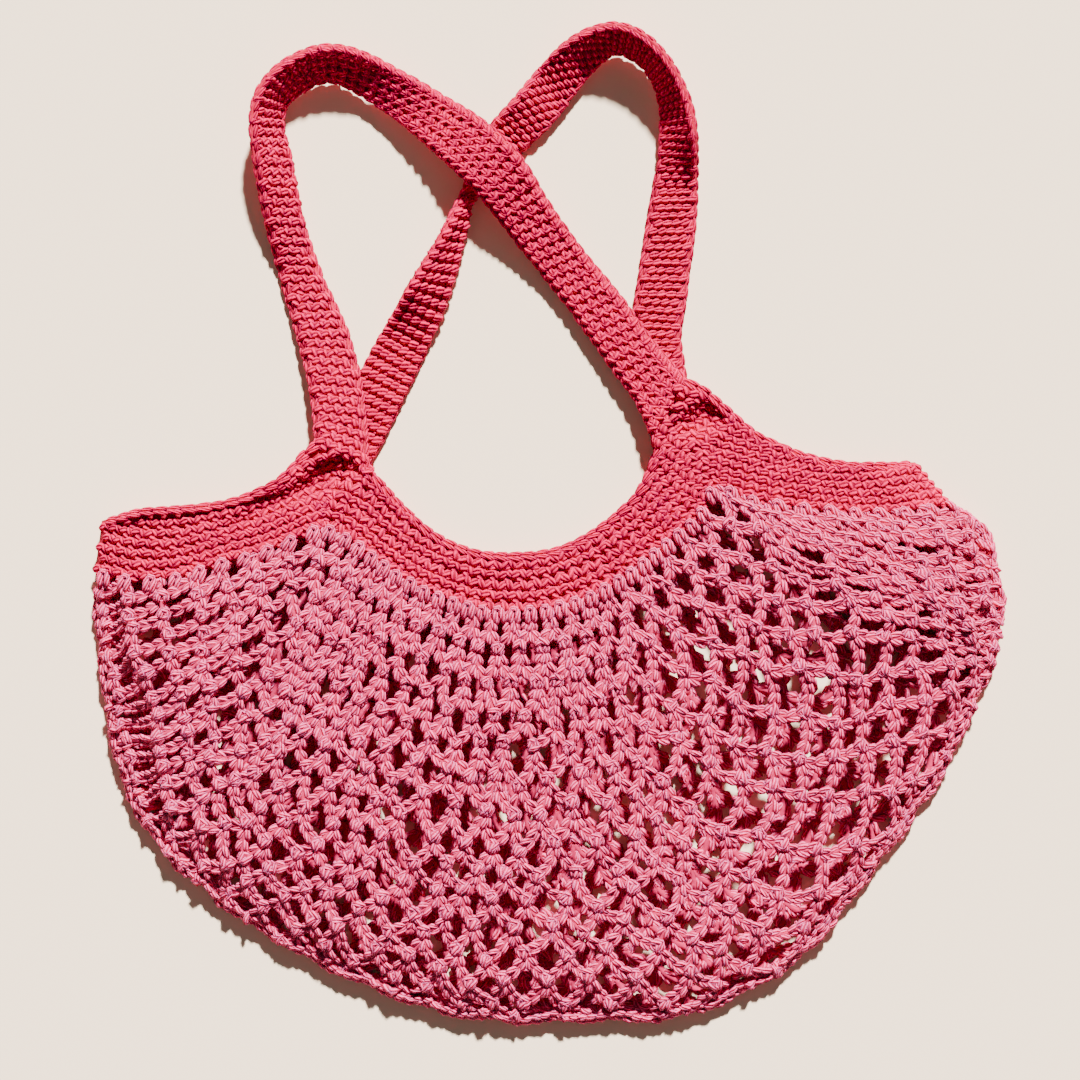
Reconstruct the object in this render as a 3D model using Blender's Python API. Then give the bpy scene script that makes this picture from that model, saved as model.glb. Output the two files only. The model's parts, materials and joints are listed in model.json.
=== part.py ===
"""Crocheted mesh market bag, lying flat on its back.

One light pink net pouch, one coral rim band round its mouth, and two coral
straps that loop up past the mouth and cross twice.

Frame: metres, +Z up, +X to the bag's right side, +Y from the bag's bottom to
its straps.  The origin is under the middle of the whole bag, on the surface
that it lies on.

Plan tables are in plan units of half a millimetre, measured right and up
from near the middle of the bag.  Heights are in metres.
"""

import math

import bpy
from mathutils import Vector

# Driving sizes
PLAN_UNIT = 0.0005
PLAN_MIDDLE = (-3.83, 3.51)  # the middle of the whole bag in the plan tables
CLOTH_HALF = 0.0025          # half the thickness of the net's cords and of the band
STRAP_HALF = 0.0021          # half the thickness of a strap
STRAP_WIDTH = 0.027          # a strap's width, measured across the crochet
CORD_WIDTH = 0.0082          # a net cord's width
SEAM = 0.00016               # half the gap between the net and the band
ROOT_GAP = 0.0006            # the gap between a strap's end and the band
FLOOR_CLEAR = 0.0002         # the straps' clearance over the surface

# Heights of the pouch's middle surfaces
BACK_Z = CLOTH_HALF
FOLD_Z = 0.0072              # along the fold that joins the front to the back
MOUTH_Z = 0.0152             # the front layer at the rim
CROWN = 0.0065               # how much higher the middle of the front layer is
FOLD_REACH = 0.0105          # how far in from the fold the front gains its height
BACK_REACH = 0.0065          # how far in from the fold the back lies down

# The net's pattern: diamonds across the front layer, and half rows down it
COLUMNS = 16
ROWS = 8
WANDER = 6.0                 # how far its knots stray from an even lattice, in plan units

# The rim, front layer, from the left fold to the right one.
# Columns: station, lower_x, lower_y, upper_x, upper_y in plan units.
RIM_SECTIONS = (
    (0, -453, -46, -445, 10),
    (1, -422, -52, -408, 21),
    (2, -387, -53, -370, 24),
    (3, -352, -46, -331, 28),
    (4, -322, -35, -293, 38),
    (5, -290, -27, -259, 57),
    (6, -259, -15, -234, 85),
    (7, -227, -3, -206, 72),
    (8, -200, -12, -178, 60),
    (10, -160, -42, -148, 28),
    (12, -116, -67, -114, -2),
    (14, -69, -82, -73, -19),
    (16, -19, -84, -28, -22),
    (18, 30, -73, 15, -14),
    (20, 75, -50, 54, 9),
    (22, 113, -20, 87, 40),
    (24, 151, 13, 105, 80),
    (25, 166, 40, 122, 114),
    (26, 192, 29, 139, 148),
    (28, 262, 18, 203, 96),
    (30, 331, 14, 280, 68),
    (32, 401, 21, 363, 67),
)
STATIONS = 2 * COLUMNS

# The pouch's outline round its middle, from the left fold to the right one.
# Columns: angle_deg, radius in plan units.
OUTLINE_CENTRE = (0, -47)
OUTLINE = (
    (180, 453),
    (193, 459),
    (206, 474),
    (214, 476),
    (222, 468),
    (231, 458),
    (245, 450),
    (260, 450),
    (275, 447),
    (286, 460),
    (300, 460),
    (306, 455),
    (314, 442),
    (326, 438),
    (341, 445),
    (350, 453),
    (357, 455),
    (363, 446),
    (366, 438),
    (369.6, 413),
)
LEFT_CORNER_DEG = 213.6
RIGHT_CORNER_DEG = 335.4

# Soft bulges of the front layer below each side of the rim.
# Columns: x, y, radius, edge width in plan units, rise in metres.
BULGES = (
    (266, -32, 128, 26, 0.0040),
    (-330, -70, 105, 30, 0.0022),
    (-30, -250, 150, 60, 0.0012),
)

# The front strap, from its left root over its loop to its right root.
# Columns: outer_x, outer_y, inner_x, inner_y in plan units, base height in
# millimetres of the lower edge, and lean: 1 where the outer edge is the
# higher one, -1 where the inner edge is, and 0 where the strap lies flat.
FRONT_STRAP = (
    (-234, 85, -178, 62, 15.2, 0),
    (-238, 122, -182, 118, 10.8, 0),
    (-245, 160, -188, 154, 7.6, 0),
    (-256, 198, -202, 202, 4.2, 0),
    (-273, 257, -227, 255, 2.4, 0),
    (-286, 308, -243, 308, 2.4, 0.6),
    (-294, 360, -256, 363, 2.4, 1),
    (-297, 400, -266, 403, 2.4, 1),
    (-291, 431, -263, 424, 2.4, 1),
    (-268, 460, -248, 436, 2.4, 1),
    (-230, 478, -227, 446, 2.4, 1),
    (-191, 476, -203, 441, 2.6, 1),
    (-141, 454, -161, 411, 5.5, 0.8),
    (-95, 428, -121, 378, 12.5, 0.4),
    (-60, 403, -93, 352, 17.5, 0),
    (-27, 371, -70, 329, 17.0, 0),
    (4, 322, -45, 298, 11.5, 0),
    (37, 277, -11, 256, 6.5, 0),
    (71, 236, 23, 213, 6.6, 0),
    (103, 191, 55, 167, 7.6, 0),
    (124, 166, 86, 124, 9.8, 0),
    (139, 148, 105, 82, 15.2, 0),
)

# The back strap, from its left root over its loop to its right root, with
# the same columns as the front strap.
BACK_STRAP = (
    (-234, 85, -178, 62, 2.4, 0),
    (-216, 113, -163, 88, 2.4, 0),
    (-199, 144, -148, 119, 2.4, 0),
    (-177, 186, -129, 158, 2.4, 0),
    (-152, 228, -107, 206, 2.4, 0.9),
    (-134, 255, -93, 251, 2.4, 0.8),
    (-117, 281, -87, 278, 2.4, 0.62),
    (-102, 307, -81, 304, 2.4, 0.50),
    (-92, 330, -74, 328, 2.4, 0.30),
    (-82, 362, -50, 346, 2.4, 0),
    (-59, 405, -27, 373, 2.4, 0.4),
    (-37, 430, -4, 394, 2.4, 0.9),
    (-14, 460, 16, 416, 2.4, 1),
    (10, 482, 31, 440, 2.4, 1),
    (39, 496, 48, 462, 2.4, 1),
    (69, 499, 66, 476, 2.4, 1),
    (97, 486, 88, 468, 2.4, 1),
    (123, 458, 105, 448, 2.4, 1),
    (141, 421, 112, 418, 2.4, 1),
    (149, 383, 110, 388, 2.4, 1),
    (151, 345, 103, 345, 2.4, 0.3),
    (149, 308, 97, 306, 2.4, 0),
    (144, 266, 91, 266, 2.4, 0),
    (139, 228, 85, 230, 2.4, 0),
    (134, 193, 81, 195, 2.4, 0),
    (137, 170, 80, 156, 2.4, 0),
    (138, 158, 94, 118, 2.4, 0),
    (139, 148, 105, 82, 2.4, 0),
)
STRAP_STEPS = 2              # sections made for each row of a strap's table

# Colours and finishes: red, green, blue, roughness
CORAL = (0.800, 0.105, 0.165, 0.85)
PINK = (0.860, 0.270, 0.390, 0.85)


def clear_scene():
    """Remove every object that the file starts with."""
    for item in list(bpy.data.objects):
        bpy.data.objects.remove(item, do_unlink=True)


def cloth_material(name, finish):
    """Return a plain cotton material of the given colour and roughness."""
    material = bpy.data.materials.new(name)
    material.use_nodes = True
    shader = material.node_tree.nodes["Principled BSDF"]
    shader.inputs["Base Color"].default_value = (*finish[:3], 1.0)
    shader.inputs["Roughness"].default_value = finish[3]
    shader.inputs["Metallic"].default_value = 0.0
    return material


def add_piece(name, vertices, faces, material):
    """Make one named object of a closed mesh, with its faces pointing out."""
    mesh = bpy.data.meshes.new(name)
    mesh.from_pydata([tuple(vertex) for vertex in vertices], [], faces)
    mesh.validate()
    mesh.materials.append(material)
    piece = bpy.data.objects.new(name, mesh)
    bpy.context.collection.objects.link(piece)
    mesh.shade_smooth()
    mesh.set_sharp_from_angle(angle=math.radians(50))
    return piece


def smooth_row(rows, place):
    """Return a table's values at a place, on a smooth curve through its rows.

    The first column of each row is its place along the table.
    """
    last = len(rows) - 1
    index = 0
    while index < last - 1 and rows[index + 1][0] <= place:
        index += 1
    before = rows[max(index - 1, 0)]
    start = rows[index]
    end = rows[index + 1]
    after = rows[min(index + 2, last)]
    span = end[0] - start[0]
    t = (place - start[0]) / span
    values = []
    for column in range(1, len(start)):
        slope_in = (end[column] - before[column]) / max(end[0] - before[0], 1e-9) * span
        slope_out = (after[column] - start[column]) / max(after[0] - start[0], 1e-9) * span
        values.append(
            (2 * t**3 - 3 * t**2 + 1) * start[column]
            + (t**3 - 2 * t**2 + t) * slope_in
            + (3 * t**2 - 2 * t**3) * end[column]
            + (t**3 - t**2) * slope_out
        )
    return values


def plan(x, y):
    """Return a plan point, given in plan units, as a flat vector in metres."""
    return Vector((x - PLAN_MIDDLE[0], y - PLAN_MIDDLE[1], 0.0)) * PLAN_UNIT


def outline_radius(angle_deg):
    """Return the pouch outline's radius in metres, less its outer thickness."""
    bounded = min(max(angle_deg, OUTLINE[0][0]), OUTLINE[-1][0])
    return smooth_row(OUTLINE, bounded)[0] * PLAN_UNIT - CLOTH_HALF


def outline_point(angle_deg):
    """Return the point of the pouch's middle surface on its outline."""
    angle = math.radians(angle_deg)
    centre = plan(*OUTLINE_CENTRE)
    radius = outline_radius(angle_deg)
    return centre + Vector((math.cos(angle), math.sin(angle), 0.0)) * radius


def inside_outline(point):
    """Return how far a plan point lies inside the outline, in metres."""
    offset = point - plan(*OUTLINE_CENTRE)
    angle_deg = math.degrees(math.atan2(offset.y, offset.x)) % 360.0
    if angle_deg < 90.0:
        angle_deg += 360.0
    return max(outline_radius(angle_deg) - Vector((offset.x, offset.y)).length, 0.0)


def bulge_height(point):
    """Return how much the front layer's soft bulges raise a plan point."""
    height = 0.0
    for x, y, radius, edge, rise in BULGES:
        distance = (point - plan(x, y)).length / PLAN_UNIT
        height += rise / (1.0 + math.exp((distance - radius) / (edge / 4.0)))
    return height


def front_height(point, down, inside):
    """Return the front layer's middle height at a plan point.

    down is 0 at the rim and 1 at the outline, and inside is the distance in
    from the fold.
    """
    full = MOUTH_Z + CROWN * math.sin(math.pi * down) ** 0.8
    full += bulge_height(point) * math.sin(math.pi * down) ** 0.5
    gained = 1.0 - math.exp(-((inside / FOLD_REACH) ** 2))
    return FOLD_Z + (full - FOLD_Z) * gained


def back_height(inside):
    """Return the back layer's middle height."""
    return BACK_Z + (FOLD_Z - BACK_Z) * math.exp(-((inside / BACK_REACH) ** 2))


def rim_points(station):
    """Return the plan points of the rim's lower and upper edges."""
    lower_x, lower_y, upper_x, upper_y = smooth_row(RIM_SECTIONS, station)
    return plan(lower_x, lower_y), plan(upper_x, upper_y)


def rim_outward(station, front):
    """Return the direction out of the pouch at a rim station."""
    if station == 0:
        return Vector((-1.0, 0.0, 0.0))
    if station == STATIONS:
        return Vector((0.8, 0.6, 0.0))
    return Vector((0.0, 0.0, 1.0 if front else -1.0))


def from_fold(station):
    """Return how far a rim station lies in from the nearer side fold."""
    near = 0 if station * 2 <= STATIONS else STATIONS
    return (rim_points(station)[0] - rim_points(near)[0]).length


def rim_height(station, front):
    """Return the middle height of the rim at a station, on either layer."""
    inside = from_fold(station)
    if front:
        gained = 1.0 - math.exp(-((inside / FOLD_REACH) ** 2))
        return FOLD_Z + (MOUTH_Z - FOLD_Z) * gained
    return back_height(inside)


def wander(across, down, front):
    """Return the small uneven shift of one of the net's knots, in metres."""
    seed = 37.7 * across + 11.3 * down + (0.0 if front else 4.1)
    reach = WANDER * PLAN_UNIT * math.sin(math.pi * down) ** 0.5
    return Vector((math.sin(seed * 7.1), math.cos(seed * 12.7), 0.0)) * reach


def pouch_point(across, down, front):
    """Return a point of the net's middle surface.

    across runs from 0 at the left fold to 1 at the right one, and down from
    0 at the rim to 1 at the bottom.
    """
    left_rim_deg, right_rim_deg = OUTLINE[0][0], OUTLINE[-1][0]
    rim = rim_points(across * STATIONS)[0]
    bottom = outline_point(LEFT_CORNER_DEG + across * (RIGHT_CORNER_DEG - LEFT_CORNER_DEG))
    left = outline_point(left_rim_deg + down * (LEFT_CORNER_DEG - left_rim_deg))
    right = outline_point(right_rim_deg + down * (RIGHT_CORNER_DEG - right_rim_deg))
    if down == 0.0:
        flat = rim
    elif down == 1.0:
        flat = bottom
    elif across == 0.0:
        flat = left
    elif across == 1.0:
        flat = right
    else:
        corners = (
            (1 - across) * (1 - down) * rim_points(0)[0]
            + across * (1 - down) * rim_points(STATIONS)[0]
            + (1 - across) * down * outline_point(LEFT_CORNER_DEG)
            + across * down * outline_point(RIGHT_CORNER_DEG)
        )
        flat = (1 - down) * rim + down * bottom + (1 - across) * left + across * right - corners
        flat += wander(across, down, front)
    if down == 0.0:
        height = rim_height(across * STATIONS, front)
    elif down == 1.0 or across in (0.0, 1.0):
        height = FOLD_Z
    elif front:
        height = front_height(flat, down, inside_outline(flat))
    else:
        height = back_height(inside_outline(flat))
    return Vector((flat.x, flat.y, height))


class NetSurface:
    """The net's middle surface: one polygon for each gap, front and back."""

    def __init__(self):
        self.points = []
        self.on_back = []
        self.cells = []
        self.lookup = {}

    def point(self, column, row, front):
        """Return the index of a lattice point; columns and rows count in halves."""
        shared = column in (0, 2 * COLUMNS) or row == ROWS
        side = row > 0 and shared
        key = (column, row, "fold" if side else front)
        if row == 0 and column in (0, 2 * COLUMNS):
            key = (column, row, "fold")
        if key not in self.lookup:
            self.lookup[key] = len(self.points)
            self.points.append(pouch_point(column / (2 * COLUMNS), row / ROWS, front))
            self.on_back.append(not front and key[2] != "fold")
        return self.lookup[key]

    def add_cell(self, corners, front):
        """Add one gap's polygon, turned so that it faces out of the pouch."""
        ring = [self.point(column, row, front) for column, row in corners]
        self.cells.append(ring if front else ring[::-1])

    def add_layer(self, front):
        """Add all the gaps of one layer, anticlockwise as seen from above."""
        width = 2 * COLUMNS
        for left in range(0, width, 2):
            self.add_cell(((left, 0), (left + 1, 1), (left + 2, 0), (left + 1, 0)), front)
        for row in range(1, ROWS):
            first = 0 if row % 2 else 1
            for middle in range(first, width + 1, 2):
                ring = [(middle, row - 1), (middle - 1, row), (middle, row + 1), (middle + 1, row)]
                ring = [corner for corner in ring if 0 <= corner[0] <= width]
                self.add_cell(ring, front)
        for left in range(0, width, 2):
            self.add_cell(((left + 1, ROWS - 1), (left, ROWS), (left + 2, ROWS)), front)


def ring_normal(points):
    """Return a polygon's area vector."""
    total = Vector((0.0, 0.0, 0.0))
    for index, point in enumerate(points):
        total += point.cross(points[(index + 1) % len(points)])
    return total


def hole_fraction(points):
    """Return how far a gap's corners move to its middle to leave half a cord."""
    middle = sum(points, Vector()) / len(points)
    distances = []
    for index, point in enumerate(points):
        along = points[(index + 1) % len(points)] - point
        distances.append((middle - point).cross(along).length / along.length)
    mean = sum(distances) / len(distances)
    return min(0.5 * CORD_WIDTH / mean, 0.62)


def build_net(material):
    """Build the pouch of the net: cords round every gap of both layers."""
    surface = NetSurface()
    surface.add_layer(True)
    surface.add_layer(False)
    points = surface.points
    normals = [Vector((0.0, 0.0, 0.0)) for _ in points]
    for cell in surface.cells:
        area = ring_normal([points[index] for index in cell])
        for index in cell:
            normals[index] += area
    normals = [normal.normalized() for normal in normals]
    for (column, row, side), index in surface.lookup.items():
        if row == 0:
            normals[index] = rim_outward(column, side is True)

    vertices = []
    for point, normal, back in zip(points, normals, surface.on_back):
        outer = point + normal * CLOTH_HALF
        inner = point - normal * CLOTH_HALF
        if back:
            outer.z = 0.0
        outer.z = max(outer.z, 0.0)
        vertices += [outer, inner]
    for index, shift in rim_drop(surface).items():
        vertices[2 * index] += shift
        vertices[2 * index + 1] += shift

    faces = []
    rim_edges = rim_edge_set(surface)
    for cell in surface.cells:
        ring = [points[index] for index in cell]
        middle = sum(ring, Vector()) / len(ring)
        fraction = hole_fraction(ring)
        start = len(vertices)
        for index in cell:
            corner = points[index].lerp(middle, fraction)
            normal = normals[index]
            back = surface.on_back[index]
            outer = corner + normal * CLOTH_HALF * (1.0 if back else 0.55)
            inner = corner - normal * CLOTH_HALF * 0.55
            if back:
                outer.z = 0.0
            vertices += [outer, inner]
        count = len(cell)
        for side in range(count):
            following = (side + 1) % count
            ridge_a, ridge_b = cell[side], cell[following]
            hole_a, hole_b = start + 2 * side, start + 2 * following
            faces.append((2 * ridge_a, 2 * ridge_b, hole_b, hole_a))
            faces.append((hole_a, hole_b, hole_b + 1, hole_a + 1))
            faces.append((2 * ridge_a + 1, hole_a + 1, hole_b + 1, 2 * ridge_b + 1))
            if (ridge_a, ridge_b) in rim_edges:
                faces.append((2 * ridge_b, 2 * ridge_a, 2 * ridge_a + 1))
                faces.append((2 * ridge_b, 2 * ridge_a + 1, 2 * ridge_b + 1))
    return add_piece("net_body", vertices, faces, material)


def rim_edge_set(surface):
    """Return the directed edges of the net that lie along the rim."""
    directed = set()
    for cell in surface.cells:
        for side, index in enumerate(cell):
            directed.add((index, cell[(side + 1) % len(cell)]))
    return {edge for edge in directed if edge[::-1] not in directed}


def rim_drop(surface):
    """Return the shift of each rim point that leaves the seam's gap."""
    shifts = {}
    for (column, row, _side), index in surface.lookup.items():
        if row == 0:
            lower, upper = rim_points(column)
            away = (lower - upper).normalized()
            shifts[index] = away * SEAM
    return shifts


def ring_stations():
    """Return the rim's stations in order round the mouth, as (station, front)."""
    there = [(station, True) for station in range(STATIONS + 1)]
    back = [(station, False) for station in range(STATIONS - 1, 0, -1)]
    return there + back


def band_section(station, front):
    """Return one section's points, from the lower edge out and back inside.

    The upper edge is the band's rolled top row, a little thicker.
    """
    lower, upper = rim_points(station)
    height = rim_height(station, front)
    across = upper - lower
    width = across.length
    across.normalize()
    at_fold = station in (0, STATIONS)
    outward = rim_outward(station, front)
    middle_z = Vector((0.0, 0.0, height))
    lower_end = lower + across * SEAM + middle_z
    roll = 0.0085
    upper_end = lower + across * width + middle_z
    shoulder = lower + across * (width - roll) + middle_z
    swell = 0.0014 if front and not at_fold else 0.0
    outer = [
        lower_end + outward * CLOTH_HALF,
        shoulder + outward * (CLOTH_HALF - 0.25 * swell),
        upper_end - across * 0.55 * roll + outward * (CLOTH_HALF + swell),
        upper_end + outward * (CLOTH_HALF * 0.5 + 0.5 * swell),
    ]
    inner = [
        upper_end - outward * CLOTH_HALF * 0.5,
        upper_end - across * 0.55 * roll - outward * CLOTH_HALF,
        shoulder - outward * CLOTH_HALF,
        lower_end - outward * CLOTH_HALF,
    ]
    section = outer + inner
    for point in section:
        if not front and not at_fold and point.z < CLOTH_HALF * 0.9:
            point.z = 0.0
    return section


def build_band(material):
    """Build the rim band: one closed ring round the mouth."""
    vertices = []
    faces = []
    sections = [band_section(station, front) for station, front in ring_stations()]
    for section in sections:
        vertices += section
    size = len(sections[0])
    count = len(sections)
    for ring in range(count):
        here, there = ring * size, (ring + 1) % count * size
        for side in range(size - 1):
            faces.append((here + side, there + side, there + side + 1, here + side + 1))
        # The twisted edge that meets the net is split the way that the net's is.
        faces.append((here + size - 1, there + size - 1, here))
        faces.append((there + size - 1, there, here))
    return add_piece("rim_band", vertices, faces, material)


def strap_frames(table):
    """Return the strap's sections as pairs of edge points, evenly filled in."""
    rows = [(index, *row) for index, row in enumerate(table)]
    steps = (len(rows) - 1) * STRAP_STEPS
    frames = []
    for step in range(steps + 1):
        outer_x, outer_y, inner_x, inner_y, base, lean = smooth_row(rows, step / STRAP_STEPS)
        outer = plan(outer_x, outer_y)
        inner = plan(inner_x, inner_y)
        flat_width = (outer - inner).length
        rise = math.sqrt(max(STRAP_WIDTH**2 - flat_width**2, 0.0)) * abs(lean)
        outer.z = base / 1000.0 + (rise if lean > 0 else 0.0)
        inner.z = base / 1000.0 + (rise if lean < 0 else 0.0)
        frames.append((outer, inner))
    return frames


def build_strap(name, table, material):
    """Build one strap as a solid ribbon between its two roots."""
    frames = strap_frames(table)
    middles = [(outer + inner) / 2 for outer, inner in frames]
    vertices = []
    last = len(frames) - 1
    for index, (outer, inner) in enumerate(frames):
        along = (middles[min(index + 1, last)] - middles[max(index - 1, 0)]).normalized()
        if index == 0:
            outer, inner = outer + along * ROOT_GAP, inner + along * ROOT_GAP
        if index == last:
            outer, inner = outer - along * ROOT_GAP, inner - along * ROOT_GAP
        across = (inner - outer).normalized()
        up = across.cross(along).normalized()
        if up.z < 0:
            up = -up
        edge = STRAP_HALF * 0.9
        section = [
            outer - up * STRAP_HALF * 0.5,
            outer + up * STRAP_HALF * 0.5,
            outer + across * edge + up * STRAP_HALF,
            inner - across * edge + up * STRAP_HALF,
            inner + up * STRAP_HALF * 0.5,
            inner - up * STRAP_HALF * 0.5,
            inner - across * edge - up * STRAP_HALF,
            outer + across * edge - up * STRAP_HALF,
        ]
        for point in section:
            point.z = max(point.z, FLOOR_CLEAR)
        vertices += section
    size = 8
    faces = []
    for ring in range(last):
        for side in range(size):
            beside = (side + 1) % size
            faces.append((
                ring * size + side,
                ring * size + beside,
                (ring + 1) * size + beside,
                (ring + 1) * size + side,
            ))
    faces.append(tuple(range(size))[::-1])
    faces.append(tuple(last * size + side for side in range(size)))
    return add_piece(name, vertices, faces, material)


def main():
    """Build the bag's four pieces."""
    clear_scene()
    coral = cloth_material("coral_cotton", CORAL)
    pink = cloth_material("pink_cotton", PINK)
    build_net(pink)
    build_band(coral)
    build_strap("front_strap", FRONT_STRAP, coral)
    build_strap("back_strap", BACK_STRAP, coral)


main()
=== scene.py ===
"""Looks of the crocheted mesh market bag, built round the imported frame.

The bag lies flat on its back.  Four sheets of crochet replace the frame's
solids: the net pouch, the rim band and the two straps.  Each has its stitches
as joined legs of yarn, laid by Geometry Nodes along guides that follow the
same plan tables as the part's source.

Plan tables are in plan units of half a millimetre; other lengths are metres.
"""

from __future__ import annotations

import json
import logging
import math
import random
from dataclasses import dataclass
from enum import Enum

import bpy
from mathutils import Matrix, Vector

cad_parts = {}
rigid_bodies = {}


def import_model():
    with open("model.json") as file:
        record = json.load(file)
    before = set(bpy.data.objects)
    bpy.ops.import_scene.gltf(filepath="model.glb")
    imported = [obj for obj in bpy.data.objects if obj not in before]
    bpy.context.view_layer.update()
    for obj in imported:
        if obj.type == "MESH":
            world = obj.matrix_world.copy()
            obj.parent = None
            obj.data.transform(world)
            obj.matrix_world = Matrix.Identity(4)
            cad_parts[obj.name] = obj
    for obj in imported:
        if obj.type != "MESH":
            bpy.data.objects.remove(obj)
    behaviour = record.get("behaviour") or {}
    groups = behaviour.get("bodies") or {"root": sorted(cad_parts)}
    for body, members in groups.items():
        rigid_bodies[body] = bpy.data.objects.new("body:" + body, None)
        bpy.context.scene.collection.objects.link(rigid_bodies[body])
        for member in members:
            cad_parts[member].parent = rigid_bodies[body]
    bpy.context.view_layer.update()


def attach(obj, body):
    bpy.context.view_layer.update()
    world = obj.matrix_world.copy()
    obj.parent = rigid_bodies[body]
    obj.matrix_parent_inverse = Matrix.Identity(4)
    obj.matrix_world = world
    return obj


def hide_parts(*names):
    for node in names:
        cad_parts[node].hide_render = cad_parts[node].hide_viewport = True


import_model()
LOG = logging.getLogger("market_bag")

Node = bpy.types.Node
Socket = bpy.types.NodeSocket
Mesh = bpy.types.Mesh
Material = bpy.types.Material
Item = bpy.types.Object
Table = tuple[tuple[float, ...], ...]
Colour = tuple[float, float, float]
Kinds = tuple[tuple[str, str], ...]
Feeds = dict[str | int, object]

PLAN_UNIT = 0.0005
PLAN_MIDDLE = (-3.83, 3.51)
PHOTO_CENTRE = (549.0, 528.0)  # where the plan's middle stands in the picture
CLOTH_HALF = 0.0025
STRAP_WIDTH = 0.027
BACK_Z = CLOTH_HALF
FOLD_Z = 0.0072
MOUTH_Z = 0.0152
CROWN = 0.0065
FOLD_REACH = 0.0105
BACK_REACH = 0.0065
STATIONS = 32
UP = Vector((0.0, 0.0, 1.0))
HEADING = 0.001  # how far a standing guide's second point lies from its first

# The rim: station, lower_x, lower_y, upper_x, upper_y.
RIM_SECTIONS = (
    (0, -453, -46, -445, 10), (1, -422, -52, -408, 21), (2, -387, -53, -370, 24),
    (3, -352, -46, -331, 28), (4, -322, -35, -293, 38), (5, -290, -27, -259, 57),
    (6, -259, -15, -234, 85), (7, -227, -3, -206, 72), (8, -200, -12, -178, 60),
    (10, -160, -42, -148, 28), (12, -116, -67, -114, -2), (14, -69, -82, -73, -19),
    (16, -19, -84, -28, -22), (18, 30, -73, 15, -14), (20, 75, -50, 54, 9),
    (22, 113, -20, 87, 40), (24, 151, 13, 105, 80), (25, 166, 40, 122, 114),
    (26, 192, 29, 139, 148), (28, 262, 18, 203, 96), (30, 331, 14, 280, 68),
    (32, 401, 21, 363, 67),
)

# The pouch's outline: angle_deg, radius.
OUTLINE_CENTRE = (0, -47)
OUTLINE = (
    (180, 453), (193, 459), (206, 474), (214, 476), (222, 468), (231, 458), (245, 450),
    (260, 450), (275, 447), (286, 460), (300, 460), (306, 455), (314, 442), (326, 438),
    (341, 445), (350, 453), (357, 455), (363, 446), (366, 438), (369.6, 413),
)

# Soft bulges of the front layer: x, y, radius, edge width, rise in metres.
BULGES = (
    (266, -32, 128, 26, 0.0040), (-330, -70, 105, 30, 0.0022), (-30, -250, 150, 60, 0.0012),
)

# Hollows pressed into the band's front layer, and where the depth is below
# zero a ridge: x, y, half length, half width, turn in degrees, depth in metres.
HOLLOWS = (
    (-352, 34, 104, 14, 10.4, -0.0036), (-222, 50, 31, 15, 27, 0.0072),
    (-282, 19, 42, 9, 25, 0.0026), (152, 108, 27, 15, 27, 0.0056),
)

# The straps: outer_x, outer_y, inner_x, inner_y, base height in mm, lean.
FRONT_STRAP = (
    (-234, 85, -178, 62, 15.2, 0), (-238, 122, -182, 118, 10.8, 0),
    (-245, 160, -188, 154, 7.6, 0), (-256, 198, -202, 202, 4.2, 0),
    (-273, 257, -227, 255, 2.4, 0), (-286, 308, -243, 308, 2.4, 0.6),
    (-294, 360, -256, 363, 2.4, 1), (-297, 400, -266, 403, 2.4, 1),
    (-291, 431, -263, 424, 2.4, 1), (-268, 460, -248, 436, 2.4, 1),
    (-230, 478, -227, 446, 2.4, 1), (-191, 476, -203, 441, 2.6, 1),
    (-141, 454, -161, 411, 5.5, 0.8), (-95, 428, -121, 378, 12.5, 0.4),
    (-60, 403, -93, 352, 17.5, 0), (-27, 371, -70, 329, 17.0, 0), (4, 322, -45, 298, 11.5, 0),
    (37, 277, -11, 256, 6.5, 0), (71, 236, 23, 213, 6.6, 0), (103, 191, 55, 167, 7.6, 0),
    (124, 166, 86, 124, 9.8, 0), (139, 148, 105, 82, 15.2, 0),
)
BACK_STRAP = (
    (-234, 85, -178, 62, 2.4, 0), (-216, 113, -163, 88, 2.4, 0), (-199, 144, -148, 119, 2.4, 0),
    (-177, 186, -129, 158, 2.4, 0), (-152, 228, -107, 206, 2.4, 0.9),
    (-134, 255, -93, 251, 2.4, 0.8), (-117, 281, -87, 278, 2.4, 0.62),
    (-102, 307, -81, 304, 2.4, 0.50), (-92, 330, -74, 328, 2.4, 0.30),
    (-82, 362, -50, 346, 2.4, 0), (-59, 405, -27, 373, 2.4, 0.4), (-37, 430, -4, 394, 2.4, 0.9),
    (-14, 460, 16, 416, 2.4, 1), (10, 482, 31, 440, 2.4, 1), (39, 496, 48, 462, 2.4, 1),
    (69, 499, 66, 476, 2.4, 1), (97, 486, 88, 468, 2.4, 1), (123, 458, 105, 448, 2.4, 1),
    (141, 421, 112, 418, 2.4, 1), (149, 383, 110, 388, 2.4, 1), (151, 345, 103, 345, 2.4, 0.3),
    (149, 308, 97, 306, 2.4, 0), (144, 266, 91, 266, 2.4, 0), (139, 228, 85, 230, 2.4, 0),
    (134, 193, 81, 195, 2.4, 0), (137, 170, 80, 156, 2.4, 0), (138, 158, 94, 118, 2.4, 0),
    (139, 148, 105, 82, 2.4, 0),
)

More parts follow.
